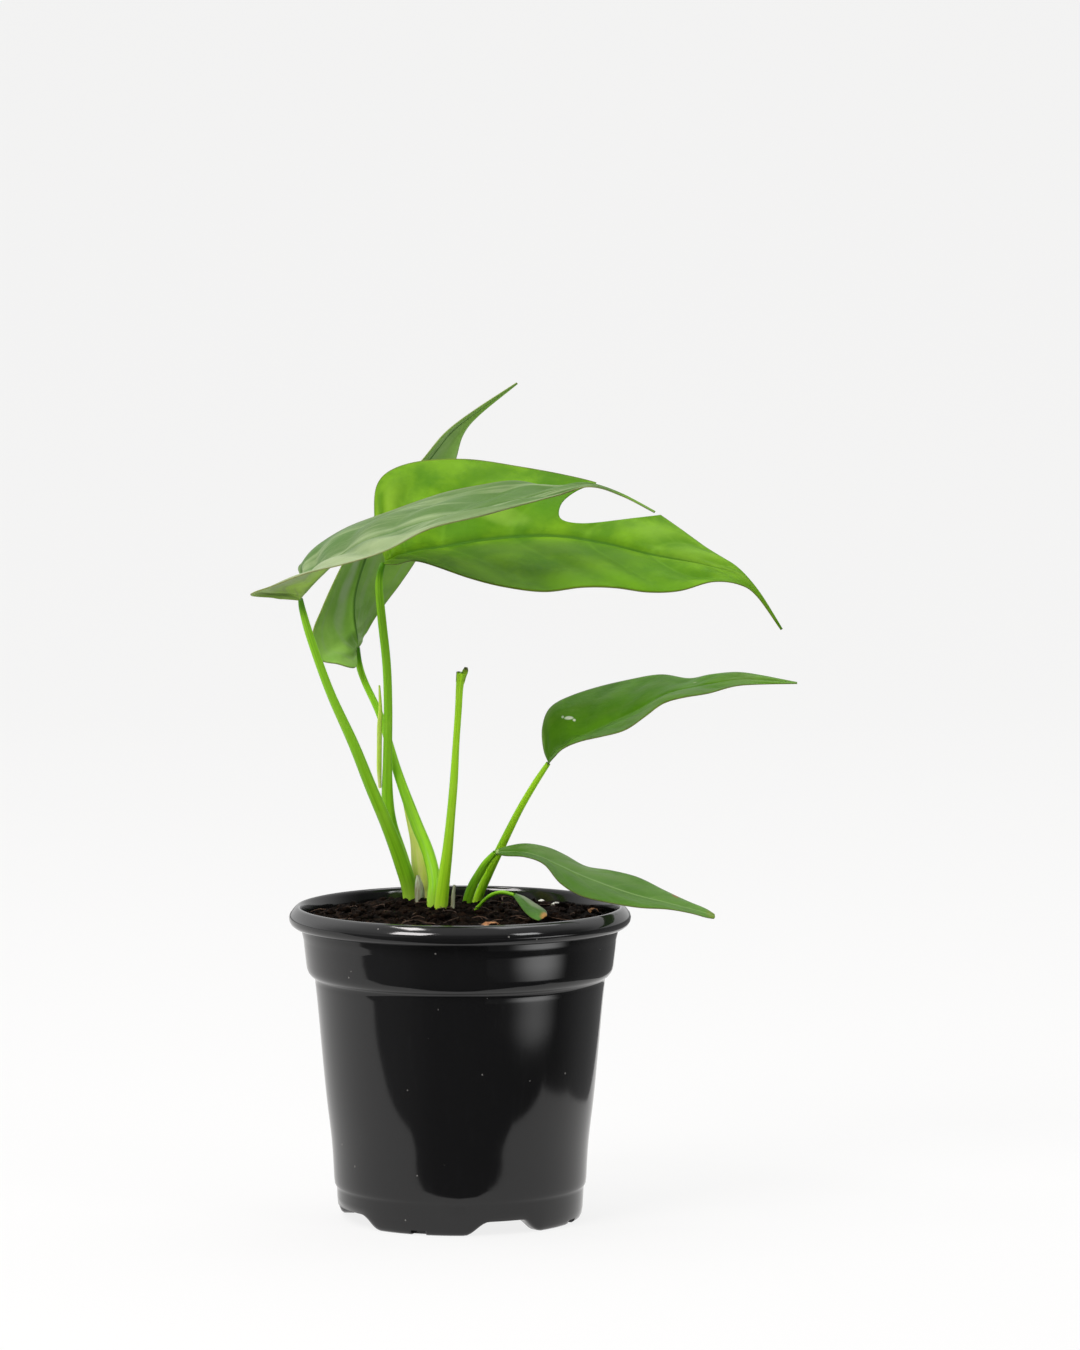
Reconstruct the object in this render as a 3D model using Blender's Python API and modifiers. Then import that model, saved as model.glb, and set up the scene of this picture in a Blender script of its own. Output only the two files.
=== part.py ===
"""Mini monstera in its black nursery pot, in metres, +Z up, standing on z = 0.

Every place below is measured from the pot's own axis. One empty carries all the pieces to where the
middle of the whole plant's bounding box, seen from above, is the world's origin.
"""

import math

import bmesh
import bpy
import numpy as np
from mathutils import Vector

# Where the pot's axis stands
POT_AXIS = (-0.0215, -0.0140, 0.0)

# Clearance between neighbouring pieces
GAP = 0.0003

# Nursery pot: one thin sheet, given as the middle of its thickness, (radius, height)
SHEET = 0.0008
POT_STEPS = 48
FIRST_ANGLE = math.radians(-19.5)
ROLLED_LIP = [
    (0.0524, 0.0950),
    (0.0537, 0.0953),
    (0.0546, 0.0972),
    (0.0542, 0.0993),
    (0.0529, 0.1006),
    (0.0517, 0.1002),
]
COLLAR = [(0.0511, 0.0980), (0.0505, 0.0930), (0.0491, 0.0826), (0.0486, 0.0806), (0.0464, 0.0774)]
BODY = [(0.0441, 0.0540), (0.0410, 0.0247), (0.0402, 0.0120)]
FOOT = [(0.0395, 0.0095), (0.0391, 0.0035), (0.0380, 0.0004), (0.0350, 0.0004)]
FLOOR = [(0.0340, 0.0046), (0.0325, 0.0050), (0.0, 0.0050)]

# The four feet, as the middle and half width of each in degrees about the axis from the front
FEET = [(-19.5, 22.0), (67.0, 24.0), (157.0, 22.0), (-117.0, 18.0)]
ARCH_SLOPE = 12.0
FOOT_TOP = 0.0050
ARCH_RISE = 0.94
DRAIN_SIZE = (0.0050, 0.0060, 0.0030)
DRAIN_RADIUS = 0.0388

# Soil: it follows the pot's inside with a gap
SOIL_STEPS = 48
SOIL_SIDE = [
    (0.0380, 0.0060),
    (0.0385, 0.0095),
    (0.0393, 0.0125),
    (0.0402, 0.0250),
    (0.0433, 0.0542),
    (0.0453, 0.0770),
    (0.0476, 0.0808),
    (0.0482, 0.0830),
    (0.0497, 0.0932),
    (0.0501, 0.0966),
]
SOIL_RINGS = (0.85, 0.68, 0.50, 0.32, 0.15)
SOIL_LEVEL = 0.0976
SOIL_EDGE_DROP = 0.0010
MOUND_CENTRE = (-0.008, 0.016)
MOUND_HEIGHT = 0.0030
MOUND_RADIUS = 0.018
SOIL_BUMP = 0.0005

# Leaf blades: each row is a point of the near margin, of the midrib and of the far margin
BLADE_SHEET = 0.0005
STATIONS_PER_ROW = 1.5
BLADE_HALF_COLUMNS = 3
BLADE_ARCH = 0.05
LARGE_LEAF = [
    ((-0.0247, 0.0142, 0.2100), (-0.0242, 0.0150, 0.2107), (-0.0239, 0.0160, 0.2113)),
    ((-0.0215, 0.0080, 0.2108), (-0.0223, 0.0153, 0.2117), (-0.0266, 0.0210, 0.2169)),
    ((-0.0175, 0.0000, 0.2120), (-0.0200, 0.0156, 0.2126), (-0.0279, 0.0300, 0.2257)),
    ((-0.0132, -0.0070, 0.2121), (-0.0165, 0.0160, 0.2136), (-0.0270, 0.0380, 0.2339)),
    ((-0.0061, -0.0130, 0.2103), (-0.0107, 0.0170, 0.2145), (-0.0215, 0.0430, 0.2385)),
    ((0.0035, -0.0170, 0.2076), (-0.0027, 0.0175, 0.2159), (-0.0108, 0.0460, 0.2413)),
    ((0.0146, -0.0190, 0.2052), (0.0090, 0.0175, 0.2178), (0.0035, 0.0465, 0.2419)),
    ((0.0273, -0.0190, 0.2036), (0.0219, 0.0170, 0.2190), (0.0192, 0.0440, 0.2397)),
    ((0.0391, -0.0180, 0.2047), (0.0348, 0.0150, 0.2188), (0.0342, 0.0400, 0.2367)),
    ((0.0496, -0.0160, 0.2045), (0.0470, 0.0120, 0.2169), (0.0472, 0.0350, 0.2332)),
    ((0.0601, -0.0140, 0.2032), (0.0582, 0.0090, 0.2144), (0.0598, 0.0290, 0.2277)),
    ((0.0703, -0.0130, 0.2036), (0.0687, 0.0050, 0.2125), (0.0690, 0.0210, 0.2228)),
    ((0.0805, -0.0110, 0.2060), (0.0795, 0.0010, 0.2107), (0.0798, 0.0110, 0.2160)),
    ((0.0892, -0.0090, 0.2051), (0.0891, -0.0030, 0.2079), (0.0889, 0.0030, 0.2101)),
    ((0.0950, -0.0085, 0.2015), (0.0952, -0.0065, 0.2021), (0.0956, -0.0045, 0.2028)),
    ((0.1027, -0.0080, 0.1906), (0.1029, -0.0077, 0.1907), (0.1032, -0.0074, 0.1908)),
]
LEFT_LEAF = [
    ((-0.0509, -0.0210, 0.2012), (-0.0503, -0.0200, 0.2018), (-0.0499, -0.0188, 0.2019)),
    ((-0.0601, -0.0320, 0.2040), (-0.0492, -0.0205, 0.2037), (-0.0501, -0.0110, 0.2075)),
    ((-0.0654, -0.0420, 0.2047), (-0.0472, -0.0215, 0.2061), (-0.0510, -0.0040, 0.2096)),
    ((-0.0572, -0.0500, 0.2071), (-0.0434, -0.0225, 0.2100), (-0.0489, 0.0000, 0.2114)),
    ((-0.0458, -0.0540, 0.2118), (-0.0373, -0.0240, 0.2155), (-0.0441, 0.0020, 0.2170)),
    ((-0.0336, -0.0550, 0.2156), (-0.0281, -0.0260, 0.2207), (-0.0345, 0.0030, 0.2237)),
    ((-0.0214, -0.0540, 0.2196), (-0.0182, -0.0270, 0.2243), (-0.0207, 0.0020, 0.2289)),
    ((-0.0087, -0.0500, 0.2253), (-0.0059, -0.0270, 0.2277), (-0.0072, -0.0010, 0.2326)),
    ((0.0063, -0.0430, 0.2289), (0.0083, -0.0260, 0.2308), (0.0066, -0.0050, 0.2355)),
    ((0.0194, -0.0360, 0.2325), (0.0210, -0.0250, 0.2339), (0.0187, -0.0100, 0.2385)),
    ((0.0308, -0.0300, 0.2349), (0.0321, -0.0240, 0.2364), (0.0308, -0.0160, 0.2379)),
    ((0.0415, -0.0245, 0.2374), (0.0419, -0.0235, 0.2380), (0.0416, -0.0220, 0.2385)),
    ((0.0517, -0.0230, 0.2344), (0.0519, -0.0226, 0.2347), (0.0520, -0.0222, 0.2350)),
    ((0.0620, -0.0225, 0.2291), (0.0622, -0.0222, 0.2293), (0.0623, -0.0219, 0.2295)),
]
BACK_LEAF = [
    ((-0.0340, 0.0300, 0.1809), (-0.0336, 0.0310, 0.1813), (-0.0330, 0.0320, 0.1816)),
    ((-0.0347, 0.0240, 0.1756), (-0.0337, 0.0310, 0.1836), (-0.0322, 0.0350, 0.1829)),
    ((-0.0399, 0.0200, 0.1771), (-0.0342, 0.0310, 0.1862), (-0.0317, 0.0390, 0.1842)),
    ((-0.0454, 0.0180, 0.1792), (-0.0347, 0.0315, 0.1891), (-0.0301, 0.0420, 0.1862)),
    ((-0.0474, 0.0180, 0.1870), (-0.0351, 0.0325, 0.1933), (-0.0276, 0.0460, 0.1905)),
    ((-0.0448, 0.0210, 0.1949), (-0.0348, 0.0350, 0.1986), (-0.0240, 0.0500, 0.1957)),
    ((-0.0410, 0.0250, 0.2033), (-0.0332, 0.0385, 0.2052), (-0.0199, 0.0540, 0.2010)),
    ((-0.0359, 0.0310, 0.2126), (-0.0298, 0.0440, 0.2139), (-0.0144, 0.0590, 0.2085)),
    ((-0.0290, 0.0400, 0.2224), (-0.0243, 0.0510, 0.2232), (-0.0098, 0.0640, 0.2174)),
    ((-0.0213, 0.0490, 0.2316), (-0.0176, 0.0580, 0.2326), (-0.0056, 0.0690, 0.2279)),
    ((-0.0123, 0.0580, 0.2415), (-0.0098, 0.0650, 0.2421), (-0.0023, 0.0720, 0.2410)),
    ((-0.0052, 0.0670, 0.2495), (-0.0036, 0.0700, 0.2493), (0.0003, 0.0740, 0.2485)),
    ((0.0043, 0.0740, 0.2565), (0.0049, 0.0750, 0.2557), (0.0059, 0.0763, 0.2548)),
    ((0.0180, 0.0820, 0.2650), (0.0181, 0.0823, 0.2649), (0.0183, 0.0826, 0.2646)),
]
RIGHT_LEAF = [
    ((0.0281, 0.0070, 0.1457), (0.0284, 0.0080, 0.1460), (0.0286, 0.0090, 0.1462)),
    ((0.0299, 0.0040, 0.1484), (0.0294, 0.0080, 0.1480), (0.0269, 0.0120, 0.1503)),
    ((0.0328, -0.0010, 0.1515), (0.0319, 0.0080, 0.1507), (0.0267, 0.0170, 0.1566)),
    ((0.0385, -0.0060, 0.1541), (0.0364, 0.0075, 0.1537), (0.0293, 0.0220, 0.1623)),
    ((0.0455, -0.0090, 0.1563), (0.0425, 0.0070, 0.1563), (0.0361, 0.0250, 0.1662)),
    ((0.0529, -0.0110, 0.1588), (0.0495, 0.0065, 0.1596), (0.0458, 0.0260, 0.1696)),
    ((0.0593, -0.0110, 0.1629), (0.0569, 0.0060, 0.1632), (0.0562, 0.0250, 0.1718)),
    ((0.0653, -0.0095, 0.1670), (0.0640, 0.0055, 0.1676), (0.0652, 0.0220, 0.1730)),
    ((0.0721, -0.0075, 0.1690), (0.0717, 0.0050, 0.1702), (0.0736, 0.0170, 0.1725)),
    ((0.0801, -0.0050, 0.1701), (0.0804, 0.0045, 0.1719), (0.0806, 0.0130, 0.1747)),
    ((0.0882, -0.0020, 0.1719), (0.0887, 0.0040, 0.1734), (0.0885, 0.0090, 0.1757)),
    ((0.0957, 0.0010, 0.1723), (0.0964, 0.0030, 0.1735), (0.0964, 0.0050, 0.1749)),
    ((0.1082, 0.0016, 0.1725), (0.1083, 0.0020, 0.1726), (0.1082, 0.0024, 0.1728)),
]
LOWER_LEAF = [
    ((0.0114, 0.0060, 0.1171), (0.0114, 0.0070, 0.1174), (0.0115, 0.0080, 0.1178)),
    ((0.0145, 0.0050, 0.1165), (0.0148, 0.0070, 0.1174), (0.0151, 0.0090, 0.1190)),
    ((0.0209, 0.0010, 0.1165), (0.0206, 0.0055, 0.1173), (0.0212, 0.0100, 0.1197)),
    ((0.0270, -0.0050, 0.1147), (0.0261, 0.0030, 0.1160), (0.0280, 0.0110, 0.1183)),
    ((0.0321, -0.0120, 0.1097), (0.0318, 0.0000, 0.1137), (0.0341, 0.0110, 0.1158)),
    ((0.0388, -0.0180, 0.1063), (0.0386, -0.0030, 0.1109), (0.0406, 0.0090, 0.1126)),
    ((0.0474, -0.0210, 0.1044), (0.0469, -0.0070, 0.1081), (0.0483, 0.0050, 0.1115)),
    ((0.0569, -0.0230, 0.1032), (0.0558, -0.0110, 0.1055), (0.0572, 0.0000, 0.1098)),
    ((0.0662, -0.0230, 0.1027), (0.0647, -0.0150, 0.1038), (0.0652, -0.0060, 0.1069)),
    ((0.0735, -0.0230, 0.1014), (0.0726, -0.0180, 0.1022), (0.0731, -0.0120, 0.1039)),
    ((0.0786, -0.0220, 0.0999), (0.0783, -0.0200, 0.1010), (0.0784, -0.0170, 0.1021)),
    ((0.0812, -0.0215, 0.0994), (0.0815, -0.0210, 0.0999), (0.0814, -0.0200, 0.1006)),
]
SMALL_LEAF = [
    ((0.0172, -0.0058, 0.1047), (0.0175, -0.0050, 0.1050), (0.0179, -0.0044, 0.1053)),
    ((0.0187, -0.0110, 0.1031), (0.0196, -0.0090, 0.1041), (0.0209, -0.0060, 0.1044)),
    ((0.0211, -0.0170, 0.1007), (0.0225, -0.0140, 0.1020), (0.0244, -0.0100, 0.1027)),
    ((0.0232, -0.0210, 0.0995), (0.0253, -0.0180, 0.1008), (0.0275, -0.0140, 0.1010)),
    ((0.0252, -0.0232, 0.0990), (0.0266, -0.0220, 0.0995), (0.0280, -0.0200, 0.1002)),
]

# The large leaf's notch, an outline seen from the front, (x, z), pushed through the blade's far half
NOTCH_LOBE_TIP = (0.0439, 0.2345)
NOTCH_CURVE = [(0.0377, 0.2323), (0.0327, 0.2286), (0.0325, 0.2242), (0.0394, 0.2228), (0.0520, 0.2238)]
NOTCH_MOUTH = [(0.0655, 0.2252), (0.0700, 0.2300), (0.0560, 0.2420), (0.0450, 0.2372)]
NOTCH_DEPTHS = (0.008, 0.056)

# Stalks: each point is x, y, z and the stalk's radius there. The first one is buried in the soil
STALK_POINTS_PER_SPAN = 2
LARGE_PETIOLE = [
    (-0.0146, 0.0320, 0.0900, 0.0022),
    (-0.0160, 0.0310, 0.1011, 0.0023),
    (-0.0194, 0.0295, 0.1128, 0.0023),
    (-0.0227, 0.0270, 0.1239, 0.0021),
    (-0.0238, 0.0245, 0.1333, 0.0019),
    (-0.0237, 0.0215, 0.1457, 0.0015),
    (-0.0234, 0.0185, 0.1623, 0.0014),
    (-0.0238, 0.0165, 0.1771, 0.0014),
    (-0.0252, 0.0152, 0.1912, 0.0014),
    (-0.0261, 0.0144, 0.2016, 0.0013),
    (-0.0258, 0.0140, 0.2070, 0.0011),
    (-0.0252, 0.0142, 0.2092, 0.0009),
]
LEFT_PETIOLE = [
    (-0.0160, 0.0228, 0.0900, 0.0024),
    (-0.0164, 0.0220, 0.1023, 0.0026),
    (-0.0192, 0.0190, 0.1127, 0.0025),
    (-0.0237, 0.0140, 0.1254, 0.0021),
    (-0.0289, 0.0080, 0.1387, 0.0019),
    (-0.0342, 0.0010, 0.1532, 0.0017),
    (-0.0414, -0.0070, 0.1706, 0.0014),
    (-0.0471, -0.0145, 0.1879, 0.0013),
    (-0.0496, -0.0180, 0.1972, 0.0011),
    (-0.0502, -0.0195, 0.2007, 0.0009),
]
BACK_PETIOLE = [
    (-0.0090, 0.0090, 0.0900, 0.0020),
    (-0.0088, 0.0100, 0.1008, 0.0021),
    (-0.0085, 0.0120, 0.1077, 0.0021),
    (-0.0105, 0.0160, 0.1161, 0.0020),
    (-0.0148, 0.0200, 0.1263, 0.0019),
    (-0.0204, 0.0250, 0.1411, 0.0015),
    (-0.0259, 0.0280, 0.1588, 0.0012),
    (-0.0311, 0.0295, 0.1702, 0.0011),
    (-0.0331, 0.0312, 0.1761, 0.0011),
    (-0.0334, 0.0316, 0.1803, 0.0009),
]
RIGHT_PETIOLE = [
    (0.0040, 0.0227, 0.0900, 0.0015),
    (0.0053, 0.0220, 0.0996, 0.0015),
    (0.0089, 0.0200, 0.1087, 0.0015),
    (0.0128, 0.0175, 0.1172, 0.0014),
    (0.0173, 0.0142, 0.1268, 0.0012),
    (0.0204, 0.0120, 0.1329, 0.0011),
    (0.0246, 0.0096, 0.1402, 0.0010),
    (0.0279, 0.0080, 0.1452, 0.0008),
]
CUT_PETIOLE = [
    (-0.0070, 0.0052, 0.0900, 0.0021),
    (-0.0063, 0.0045, 0.0986, 0.0022),
    (-0.0055, 0.0035, 0.1071, 0.0021),
    (-0.0041, 0.0020, 0.1178, 0.0017),
    (-0.0029, 0.0000, 0.1300, 0.0014),
    (-0.0019, -0.0020, 0.1417, 0.0013),
    (-0.0012, -0.0035, 0.1532, 0.0011),
    (-0.0004, -0.0050, 0.1646, 0.0011),
    (0.0000, -0.0060, 0.1718, 0.0012),
    (0.0006, -0.0065, 0.1768, 0.0015),
]
LOWER_SHEATH = [
    (0.0012, 0.0148, 0.0900, 0.0014),
    (0.0021, 0.0140, 0.1000, 0.0015),
    (0.0037, 0.0130, 0.1053, 0.0015),
    (0.0060, 0.0115, 0.1097, 0.0014),
    (0.0083, 0.0095, 0.1136, 0.0012),
    (0.0109, 0.0075, 0.1169, 0.0009),
]
SMALL_STALK = [
    (0.0044, 0.0056, 0.0900, 0.0007),
    (0.0049, 0.0050, 0.0980, 0.0007),
    (0.0064, 0.0030, 0.1007, 0.0006),
    (0.0087, 0.0000, 0.1034, 0.0006),
    (0.0110, -0.0020, 0.1050, 0.0006),
    (0.0139, -0.0035, 0.1057, 0.0006),
    (0.0166, -0.0047, 0.1052, 0.0005),
]
SHEATH_WING = [
    (-0.0262, 0.0232, 0.1365, 0.0005),
    (-0.0264, 0.0220, 0.1430, 0.0008),
    (-0.0263, 0.0206, 0.1500, 0.0008),
    (-0.0262, 0.0194, 0.1570, 0.0008),
    (-0.0259, 0.0184, 0.1630, 0.0006),
    (-0.0262, 0.0177, 0.1704, 0.0003),
]
CATAPHYLL = [
    (-0.0118, 0.0268, 0.0900, 0.0020),
    (-0.0121, 0.0260, 0.1018, 0.0024),
    (-0.0127, 0.0250, 0.1061, 0.0027),
    (-0.0133, 0.0245, 0.1121, 0.0028),
    (-0.0147, 0.0248, 0.1181, 0.0021),
    (-0.0167, 0.0254, 0.1226, 0.0009),
    (-0.0181, 0.0264, 0.1285, 0.0006),
    (-0.0196, 0.0275, 0.1356, 0.0004),
]
PAPERY_SHEATH = [
    (-0.0131, 0.0150, 0.0900, 0.0012),
    (-0.0132, 0.0150, 0.1020, 0.0016),
    (-0.0135, 0.0152, 0.1060, 0.0013),
    (-0.0139, 0.0158, 0.1088, 0.0005),
]
SPLIT_SHEATH = [
    (-0.0026, 0.0046, 0.0900, 0.0007),
    (-0.0024, 0.0040, 0.0990, 0.0007),
    (-0.0022, 0.0036, 0.1040, 0.0006),
    (-0.0018, 0.0034, 0.1072, 0.0004),
]

# Loose bits pressed into the soil's surface: x, y, half sizes and a turn about Z
SOIL_BITS = {
    "perlite_grain_1": ((0.0308, 0.0240), (0.0013, 0.0011, 0.0010), 0.3),
    "perlite_grain_2": ((0.0262, 0.0340), (0.0010, 0.0009, 0.0008), 1.1),
    "bark_chip_1": ((0.0099, -0.0260), (0.0030, 0.0014, 0.0009), 0.5),
    "bark_chip_2": ((0.0430, 0.0080), (0.0024, 0.0012, 0.0009), 1.9),
}
BIT_STANDS_PROUD = 0.35

# Colours, red, green and blue in linear light, and roughness
BLACK_PLASTIC = ((0.008, 0.008, 0.009), 0.45)
PEAT = ((0.020, 0.012, 0.007), 0.95)
BRIGHT_LEAF = ((0.16, 0.36, 0.02), 0.35)
GREY_LEAF = ((0.16, 0.30, 0.10), 0.35)
DARK_LEAF = ((0.04, 0.16, 0.02), 0.25)
MID_LEAF = ((0.05, 0.20, 0.01), 0.30)
STALK_GREEN = ((0.14, 0.40, 0.03), 0.40)
PALE_SHEATH = ((0.45, 0.55, 0.22), 0.50)
DRY_SHEATH = ((0.45, 0.36, 0.24), 0.80)
PERLITE = ((0.80, 0.79, 0.74), 0.90)
BARK = ((0.35, 0.14, 0.05), 0.85)


def clear_scene():
    for obj in list(bpy.data.objects):
        bpy.data.objects.remove(obj, do_unlink=True)


def make_collection(name):
    collection = bpy.data.collections.new(name)
    bpy.context.scene.collection.children.link(collection)
    return collection


def make_material(name, finish):
    colour, roughness = finish
    material = bpy.data.materials.new(name)
    material.use_nodes = True
    shader = material.node_tree.nodes["Principled BSDF"]
    shader.inputs["Base Color"].default_value = (*colour, 1.0)
    shader.inputs["Roughness"].default_value = roughness
    shader.inputs["Metallic"].default_value = 0.0
    return material


def add_object(name, data, collection, frame, finish=None):
    """An object of this mesh or curve, carried by the plant's frame."""
    obj = bpy.data.objects.new(name, data)
    collection.objects.link(obj)
    obj.parent = frame
    if finish is not None:
        obj.data.materials.append(make_material(name + "_material", finish))
    return obj


def hide_cutter(obj):
    obj.hide_render = True
    obj.display_type = "WIRE"


def add_boolean(obj, cutter):
    modifier = obj.modifiers.new("cut_" + cutter.name, "BOOLEAN")
    modifier.operation = "DIFFERENCE"
    modifier.object = cutter


def spline_value(points, place):
    """The smooth curve through these points, at a place counted in points from the first."""
    last = len(points) - 1
    span = min(int(place), last - 1)
    part = place - span
    before = points[max(span - 1, 0)]
    start = points[span]
    end = points[span + 1]
    after = points[min(span + 2, last)]
    return 0.5 * (
        2 * start
        + (end - before) * part
        + (2 * before - 5 * start + 4 * end - after) * part**2
        + (3 * start - before - 3 * end + after) * part**3
    )


def turned_mesh(name, profile, steps, first_angle):
    """A profile of (radius, height) points spun once about the pot's axis."""
    mesh = bpy.data.meshes.new(name)
    shape = bmesh.new()
    outward = Vector((math.sin(first_angle), -math.cos(first_angle), 0.0))
    points = [shape.verts.new(outward * radius + Vector((0.0, 0.0, height))) for radius, height in profile]
    edges = [shape.edges.new(pair) for pair in zip(points, points[1:])]
    bmesh.ops.spin(
        shape, geom=points + edges, cent=(0, 0, 0), axis=(0, 0, 1), dvec=(0, 0, 0),
        angle=2 * math.pi, steps=steps, use_duplicate=False,
    )
    bmesh.ops.remove_doubles(shape, verts=shape.verts, dist=1e-6)
    bmesh.ops.recalc_face_normals(shape, faces=shape.faces)
    shape.to_mesh(mesh)
    shape.free()
    mesh.shade_smooth()
    return mesh


def arch_amount(x, y):
    """0 on a foot and 1 in the arch between two feet."""
    angle = math.degrees(math.atan2(x, -y))
    outside = min(abs((angle - middle + 180) % 360 - 180) - half for middle, half in FEET)
    rise = min(max(outside / ARCH_SLOPE, 0.0), 1.0)
    return rise * rise * (3 - 2 * rise)


def build_pot(collection, cutters, frame):
    profile = ROLLED_LIP + COLLAR + BODY + FOOT + FLOOR
    mesh = turned_mesh("nursery_pot", profile, POT_STEPS, FIRST_ANGLE)
    for vertex in mesh.vertices:
        if vertex.co.z < FOOT_TOP:
            rise = ARCH_RISE * arch_amount(vertex.co.x, vertex.co.y)
            vertex.co.z += rise * (FOOT_TOP - vertex.co.z)
    pot = add_object("nursery_pot", mesh, collection, frame, BLACK_PLASTIC)
    solidify = pot.modifiers.new("sheet", "SOLIDIFY")
    solidify.thickness = SHEET
    solidify.offset = 0.0
    solidify.use_even_offset = True
    for index in range(len(FEET)):
        add_boolean(pot, build_drain_cutter(index, cutters, frame))
    return pot


def build_drain_cutter(index, cutters, frame):
    """A small box through the foot's outer bottom edge, in the middle of the foot."""
    name = f"drain_cutter_{index + 1}"
    mesh = bpy.data.meshes.new(name)
    shape = bmesh.new()
    bmesh.ops.create_cube(shape, size=1.0)
    bmesh.ops.scale(shape, vec=DRAIN_SIZE, verts=shape.verts)
    shape.to_mesh(mesh)
    shape.free()
    angle = math.radians(FEET[index][0])
    cutter = add_object(name, mesh, cutters, frame)
    cutter.location = (DRAIN_RADIUS * math.sin(angle), -DRAIN_RADIUS * math.cos(angle), 0.0)
    cutter.rotation_euler.z = angle
    hide_cutter(cutter)
    return cutter


def soil_height(x, y):
    """The peat's surface: nearly level, mounded up to the stalks, a little lower at the pot."""
    radius = math.hypot(x, y) / SOIL_SIDE[-1][0]
    from_mound = math.hypot(x - MOUND_CENTRE[0], y - MOUND_CENTRE[1]) / MOUND_RADIUS
    mound = MOUND_HEIGHT * math.exp(-from_mound**2)
    bumps = math.sin(290 * x + 1.0) * math.sin(260 * y) + 0.6 * math.sin(540 * x - 410 * y)
    return SOIL_LEVEL + mound + SOIL_BUMP * bumps - SOIL_EDGE_DROP * radius**6


def build_soil(collection, frame):
    rim_radius, rim_height = SOIL_SIDE[-1]
    rings = [(rim_radius * part, rim_height) for part in SOIL_RINGS]
    profile = [(0.0, SOIL_SIDE[0][1])] + SOIL_SIDE + rings + [(0.0, rim_height)]
    mesh = turned_mesh("potting_soil", profile, SOIL_STEPS, FIRST_ANGLE)
    for vertex in mesh.vertices:
        if vertex.co.z > rim_height - GAP:
            vertex.co.z = soil_height(vertex.co.x, vertex.co.y)
    return add_object("potting_soil", mesh, collection, frame, PEAT)


def build_blade(name, rows, collection, frame, finish):
    """A thin leaf blade, lofted between its two margins over its midrib."""
    near, midrib, far = (np.array([row[side] for row in rows]) for side in range(3))
    stations = round((len(rows) - 1) * STATIONS_PER_ROW)
    columns = 2 * BLADE_HALF_COLUMNS + 1
    vertices = []
    for station in range(stations + 1):
        place = station * (len(rows) - 1) / stations
        left, middle, right = (spline_value(rail, place) for rail in (near, midrib, far))
        ahead = spline_value(midrib, min(place + 0.5, len(rows) - 1))
        behind = spline_value(midrib, max(place - 0.5, 0))
        upward = np.cross(ahead - behind, right - left)
        upward /= np.linalg.norm(upward)
        for column in range(-BLADE_HALF_COLUMNS, BLADE_HALF_COLUMNS + 1):
            part = abs(column) / BLADE_HALF_COLUMNS
            reach = (left if column < 0 else right) - middle
            arch = 4 * BLADE_ARCH * part * (1 - part) * np.linalg.norm(reach)
            vertices.append(middle + reach * part + upward * arch)
    faces = []
    for start in range(0, stations * columns, columns):
        for corner in range(start, start + columns - 1):
            faces.append((corner, corner + columns, corner + columns + 1, corner + 1))
    mesh = bpy.data.meshes.new(name)
    mesh.from_pydata([tuple(vertex) for vertex in vertices], [], faces)
    mesh.shade_smooth()
    blade = add_object(name, mesh, collection, frame, finish)
    solidify = blade.modifiers.new("thickness", "SOLIDIFY")
    solidify.thickness = BLADE_SHEET
    solidify.offset = 0.0
    return blade


def as_mesh(curve_object, collection, frame):
    """The curve object's solid as a mesh object of the same name, with its caps welded."""
    bpy.context.view_layer.update()
    graph = bpy.context.evaluated_depsgraph_get()
    mesh = bpy.data.meshes.new_from_object(curve_object.evaluated_get(graph))
    shape = bmesh.new()
    shape.from_mesh(mesh)
    bmesh.ops.remove_doubles(shape, verts=shape.verts, dist=1e-6)
    bmesh.ops.recalc_face_normals(shape, faces=shape.faces)
    shape.to_mesh(mesh)
    shape.free()
    name = curve_object.name
    place = curve_object.matrix_world.copy()
    bpy.data.objects.remove(curve_object, do_unlink=True)
    solid = add_object(name, mesh, collection, frame)
    solid.matrix_world = place
    return solid


def build_notch_cutter(cutters, frame):
    """A prism whose outline follows the notch inside the blade and closes outside it."""
    curved = np.array([NOTCH_LOBE_TIP] + NOTCH_CURVE + NOTCH_MOUTH[:1])
    places = np.arange(0, len(curved) - 0.99, 1 / 3)
    outline = [spline_value(curved, place) for place in places] + NOTCH_MOUTH[1:]
    curve = bpy.data.curves.new("notch_cutter", "CURVE")
    curve.dimensions = "2D"
    curve.fill_mode = "BOTH"
    front, back = NOTCH_DEPTHS
    curve.extrude = (back - front) / 2
    spline = curve.splines.new("POLY")
    spline.points.add(len(outline) - 1)
    for point, (x, z) in zip(spline.points, outline):
        point.co = (x, z, 0.0, 1.0)
    spline.use_cyclic_u = True
    outline_object = add_object("notch_cutter", curve, cutters, frame)
    outline_object.location.y = (front + back) / 2
    outline_object.rotation_euler.x = math.pi / 2
    cutter = as_mesh(outline_object, cutters, frame)
    hide_cutter(cutter)
    return cutter


def build_stalk(name, route, collection, frame, finish=None, wider=0.0):
    """A tapering round stalk on the smooth curve through the route's points."""
    points = np.array(route)
    spans = (len(points) - 1) * STALK_POINTS_PER_SPAN
    curve = bpy.data.curves.new(name, "CURVE")
    curve.dimensions = "3D"
    curve.bevel_depth = 0.001
    curve.bevel_resolution = 2
    curve.use_fill_caps = True
    spline = curve.splines.new("POLY")
    spline.points.add(spans)
    for index, point in enumerate(spline.points):
        x, y, z, radius = spline_value(points, index / STALK_POINTS_PER_SPAN)
        point.co = (x, y, z, 1.0)
        point.radius = (radius + wider) / curve.bevel_depth
    return add_object(name, curve, collection, frame, finish)


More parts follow.
